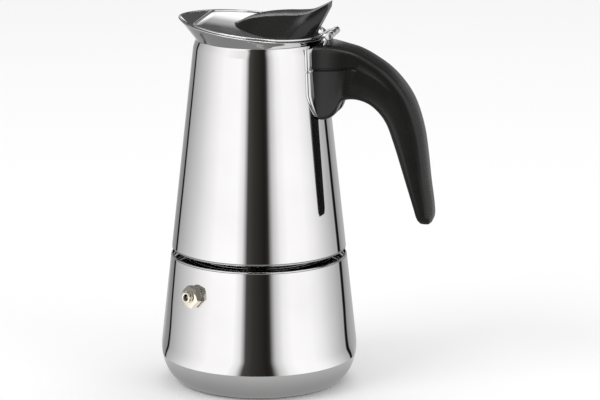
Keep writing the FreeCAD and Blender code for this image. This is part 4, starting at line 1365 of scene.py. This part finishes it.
# Brightness round the tent's wall, by degrees from the camera and to the right as it sees them
TENT_ROUND = [
    (-180, 0.6), (-161, 0.6), (-151, 0.42), (-135, 0.36), (-133.5, 0.01), (-128.5, 0.01), (-127, 0.55),
    (-112, 0.72), (-93, 0.96), (-74, 1.28), (-56, 1.52), (-28, 1.56), (-20, 1.2), (-14, 0.09), (-6, 0.05),
    (8, 0.02), (12, 0.04), (18, 0.85), (27, 1.36), (37, 1.53), (60, 1.5), (74, 1.33), (93, 0.96), (112, 0.65),
    (118.5, 0.6), (120, 0.01), (127, 0.01), (128.5, 0.42), (141, 0.55), (180, 0.6),
]
# The same above the pot, where the tent is dark behind it but for a panel
TENT_ROUND_HIGH = [
    (-180, 0.12), (-125, 0.12), (-115, 0.7), (-93, 0.96), (-74, 1.28), (-56, 1.5), (-20, 1.2), (-14, 0.09),
    (-6, 0.05), (8, 0.02), (12, 0.04), (18, 0.85), (27, 1.36), (37, 1.53), (60, 1.5), (74, 1.3), (93, 0.9),
    (104, 0.3), (112, 0.12), (180, 0.12),
]
# The same on the dim canopy that closes the tent
CANOPY_ROUND = [
    (-180, 0.28), (-125, 0.28), (-93, 0.34), (-74, 0.45), (-56, 0.52), (-20, 0.42), (-14, 0.03),
    (12, 0.015), (18, 0.3), (37, 0.53), (60, 0.52), (93, 0.32), (125, 0.28), (180, 0.28),
]
# Where the panel is, and its brightness by height in metres
PANEL_ROUND = [(-180, 1), (-172, 1), (-170, 0), (166, 0), (168, 1), (180, 1)]
PANEL_RISE = [
    (0.2, 1.55), (0.2293, 1.55), (0.2312, 0.62), (0.2336, 0.52), (0.2345, 0.125), (0.28, 0.13), (0.30, 0.5),
]
# Heights in metres between which the upper wall and the canopy take over
UPPER_RISE = [(0.195, 0), (0.205, 1)]
CANOPY_RISE = [(0.449, 0), (0.4505, 1)]
TENT_PEAK = 1.6
TENT_PALE_TINT = (1.0, 0.985, 0.995)
TENT_DARK_TINT = (1.0, 0.92, 0.78)
TINTED_BELOW = 0.12


def ramp(tree, value, stops, low, high, peak=None):
    """Colour over stops of (place, level), with places from low to high; a peak scales and tints them."""
    node = add_node(tree, "ShaderNodeValToRGB", {"Fac": value})
    elements = node.color_ramp.elements
    elements.remove(elements[1])
    for i, (place, level) in enumerate(stops):
        position = (place - low) / (high - low)
        stop = elements[0] if i == 0 else elements.new(position)
        stop.position = position
        tint = Vector((1, 1, 1))
        if peak is not None:
            pale_share = min(1.0, level / TINTED_BELOW)
            tint = Vector(TENT_DARK_TINT).lerp(Vector(TENT_PALE_TINT), pale_share) / peak
        stop.color = (*(tint * level), 1)
    return node.outputs["Color"]


def mixed(tree, share, first, second):
    inputs = {"Factor": share, "A": first, "B": second}
    return add_node(tree, "ShaderNodeMix", inputs, data_type="RGBA", blend_type="MIX").outputs["Result"]


def by_distance(tree, places, values):
    """Value that runs between two values with the distance from the pot's foot, over places in mm."""
    place = tree.nodes.new("ShaderNodeTexCoord").outputs["Object"]
    return mapped(tree, reach_of(tree, place), [reach * MM for reach in places], values, "SMOOTHSTEP")


def glowing(name, strength):
    material, tree = new_material(name)
    tree.nodes.remove(tree.nodes["Principled BSDF"])
    glow = add_node(tree, "ShaderNodeEmission", {"Strength": strength})
    set_inputs(tree, tree.nodes["Material Output"], {"Surface": glow.outputs[0]})
    return material, tree, glow


def tent_material():
    material, tree, glow = glowing("light_tent", TENT_PEAK)
    place = tree.nodes.new("ShaderNodeTexCoord").outputs["Object"]
    to_camera = (0, 0, math.radians(90 - CAMERA_DEGREES))
    turn = add_node(tree, "ShaderNodeMapping", {"Vector": place, "Rotation": to_camera}).outputs["Vector"]
    sweep = add_node(tree, "ShaderNodeTexGradient", {"Vector": turn}, gradient_type="RADIAL").outputs["Fac"]
    height = add_node(tree, "ShaderNodeSeparateXYZ", {0: place}).outputs["Z"]
    rise = calculated(tree, "DIVIDE", height, TENT_HEIGHT_METRES)
    off_front = calculated(tree, "SUBTRACT", sweep, 0.5)
    closing = by_distance(tree, NEAR_PLACES, NEAR_CLOSING)
    closed_up = calculated(tree, "MULTIPLY", calculated(tree, "ABSOLUTE", off_front), closing)
    turned = calculated(tree, "MULTIPLY", off_front, calculated(tree, "ADD", closed_up, 1.0))
    azimuth = calculated(tree, "ADD", turned, 0.5)

    def by_turn(stops, peak=TENT_PEAK):
        return ramp(tree, azimuth, stops, -180, 180, peak)

    def by_rise(stops, peak=None):
        return ramp(tree, rise, stops, 0, TENT_HEIGHT_METRES, peak)

    upper = mixed(tree, by_turn(PANEL_ROUND, None), by_turn(TENT_ROUND_HIGH), by_rise(PANEL_RISE, TENT_PEAK))
    walls = mixed(tree, by_rise(UPPER_RISE), by_turn(TENT_ROUND), upper)
    whole = mixed(tree, by_rise(CANOPY_RISE), walls, by_turn(CANOPY_ROUND))
    set_inputs(tree, glow, {"Color": whole})
    return material


def floor_shade_material():
    """Glowing ring of painted shade for the floor round the pot, paling with its distance from the pot."""
    material, tree, glow = glowing("apron_paper", 1.0)
    set_inputs(tree, glow, {"Strength": by_distance(tree, FLOOR_SHADE_PLACES, FLOOR_SHADE_BRIGHTNESS)})
    return material


def shade_card_material():
    """Glowing grey sheet of painted shade for the shaded floor, thinning out with its distance from the pot.
    """
    material, tree, glow = glowing("card_paper", SHADE_CARD_BRIGHTNESS)
    clear = tree.nodes.new("ShaderNodeBsdfTransparent")
    share = by_distance(tree, SHADE_CARD_PLACES, (1, 0))
    thinned = add_node(tree, "ShaderNodeMixShader", {0: share, 1: clear.outputs[0], 2: glow.outputs[0]})
    set_inputs(tree, tree.nodes["Material Output"], {"Surface": thinned.outputs[0]})
    return material


def floor_material():
    material, tree = new_material("floor_paper")
    covering = {"Base Color": FLOOR_COLOUR, "Roughness": 1.0, "Specular IOR Level": 0.0}
    set_inputs(tree, tree.nodes["Principled BSDF"], covering)
    return material


def for_reflections_only(piece):
    piece.visible_camera = False
    piece.visible_diffuse = False
    piece.visible_shadow = False
    piece.visible_transmission = False


def camera_view():
    """Point that the camera aims at and the direction back from it to the camera."""
    turn = math.radians(CAMERA_DEGREES)
    tilt = math.radians(CAMERA_TILT_DEGREES)
    aim = Vector(around(turn, AIM_SIDEWAYS, AIM_HEIGHT))
    return aim, Vector((math.sin(turn) * math.cos(tilt), -math.cos(turn) * math.cos(tilt), math.sin(tilt)))


def make_shade_card():
    """Painted shade laid along the rays that the wall throws from the seam, so that only the collar above
    shows it.
    """
    aim, away = camera_view()
    eye = (aim + away * CAMERA_DISTANCE) / MM
    z = (SEAM_LOW + SEAM_HIGH) / 2
    points = []
    for degrees in range(-SHADE_CARD_DEGREES, SHADE_CARD_DEGREES + 1, 2):
        angle = math.radians(CAMERA_DEGREES - 90 + degrees)
        facing = Vector(around(angle, 1, TAPER)).normalized()
        foot = Vector(around(angle, wall_radius(z), z))
        toward = (eye - foot).normalized()
        thrown = 2 * facing.dot(toward) * facing - toward
        reach = min(SHADE_CARD_SIDE_REACH, SHADE_CARD_FRONT_REACH + SHADE_CARD_SPREAD * (1 - math.cos(math.radians(degrees))))
        points += [foot + thrown * SHADE_CARD_START, foot + thrown * reach]
    faces = [(i, i + 2, i + 3, i + 1) for i in range(0, len(points) - 2, 2)]
    for_reflections_only(add_mesh("card", points, faces, shade_card_material()))


def make_stage():
    corners = [(x * FLOOR_SIZE, y * FLOOR_SIZE, 0) for x, y in ((-1, -1), (1, -1), (1, 1), (-1, 1))]
    add_mesh("floor", corners, [(0, 1, 2, 3)], floor_material())
    # The tent, and a ring of painted shade round the foot that stands for the shaded floor in reflections
    for name, outline, covering in (
        ("light_tent", TENT_OUTLINE, tent_material()),
        ("apron", FLOOR_SHADE_OUTLINE, floor_shade_material()),
    ):
        for_reflections_only(loft(name, [hoop(r, z, STAGE_SEGMENTS) for r, z in outline], covering))
    make_shade_card()
    x, y, z = RIDGE_LIGHT_PLACE
    wide, deep = RIDGE_LIGHT_REACH
    rings = []
    for share in (0.01, 1.0):
        ellipse = [(wide * u, deep * v) for u, v, _ in hoop(share, z, STAGE_SEGMENTS)]
        rings.append([(x + u, y + v, z) for u, v in ellipse])
    for_reflections_only(loft("ridge_light", rings, glowing("ridge_light", RIDGE_LIGHT_BRIGHTNESS)[0]))
    # Dark glowing ring across the seam, seen only in reflections: painted shade in the gap between the
    # vessels
    rings = []
    for z in (SEAM_LOW + SEAM_SHADE_RISE, SEAM_HIGH + SEAM_SHADE_RISE):
        rings.append(hoop(wall_radius(z) + SEAM_SHADE_GAP, z, SEAM_SHADE_SEGMENTS))
    for_reflections_only(loft("belt", rings, glowing("belt_paper", SEAM_SHADE_BRIGHTNESS)[0]))


def add_lamp(name, place, size, power):
    data = bpy.data.lights.new(name, "AREA")
    data.shape = "RECTANGLE"
    data.size, data.size_y = size
    data.energy = power
    lamp = new_object(name, data)
    lamp.location = place
    lamp.rotation_euler = (Vector(LAMP_AIM) - Vector(place)).to_track_quat("-Z", "Y").to_euler()
    lamp.visible_camera = False
    lamp.visible_glossy = False


def make_lights():
    world = bpy.data.worlds.new("studio")
    world.use_nodes = True
    backdrop = {"Color": (1.0, 1.0, 1.0, 1), "Strength": BACKDROP_BRIGHTNESS}
    set_inputs(world.node_tree, world.node_tree.nodes["Background"], backdrop)
    bpy.context.scene.world = world
    for lamp in LAMPS:
        add_lamp(*lamp)


def make_camera():
    aim, away = camera_view()
    data = bpy.data.cameras.new("camera")
    data.lens = CAMERA_LENS_MM
    data.sensor_width = CAMERA_SENSOR_MM
    data.clip_end = CAMERA_CLIP_END
    camera = new_object("camera", data)
    camera.location = aim + away * CAMERA_DISTANCE
    camera.rotation_euler = (-away).to_track_quat("-Z", "Y").to_euler()
    bpy.context.scene.camera = camera


make_stage()
make_lights()
make_camera()
bpy.context.scene.view_settings.view_transform = "Standard"
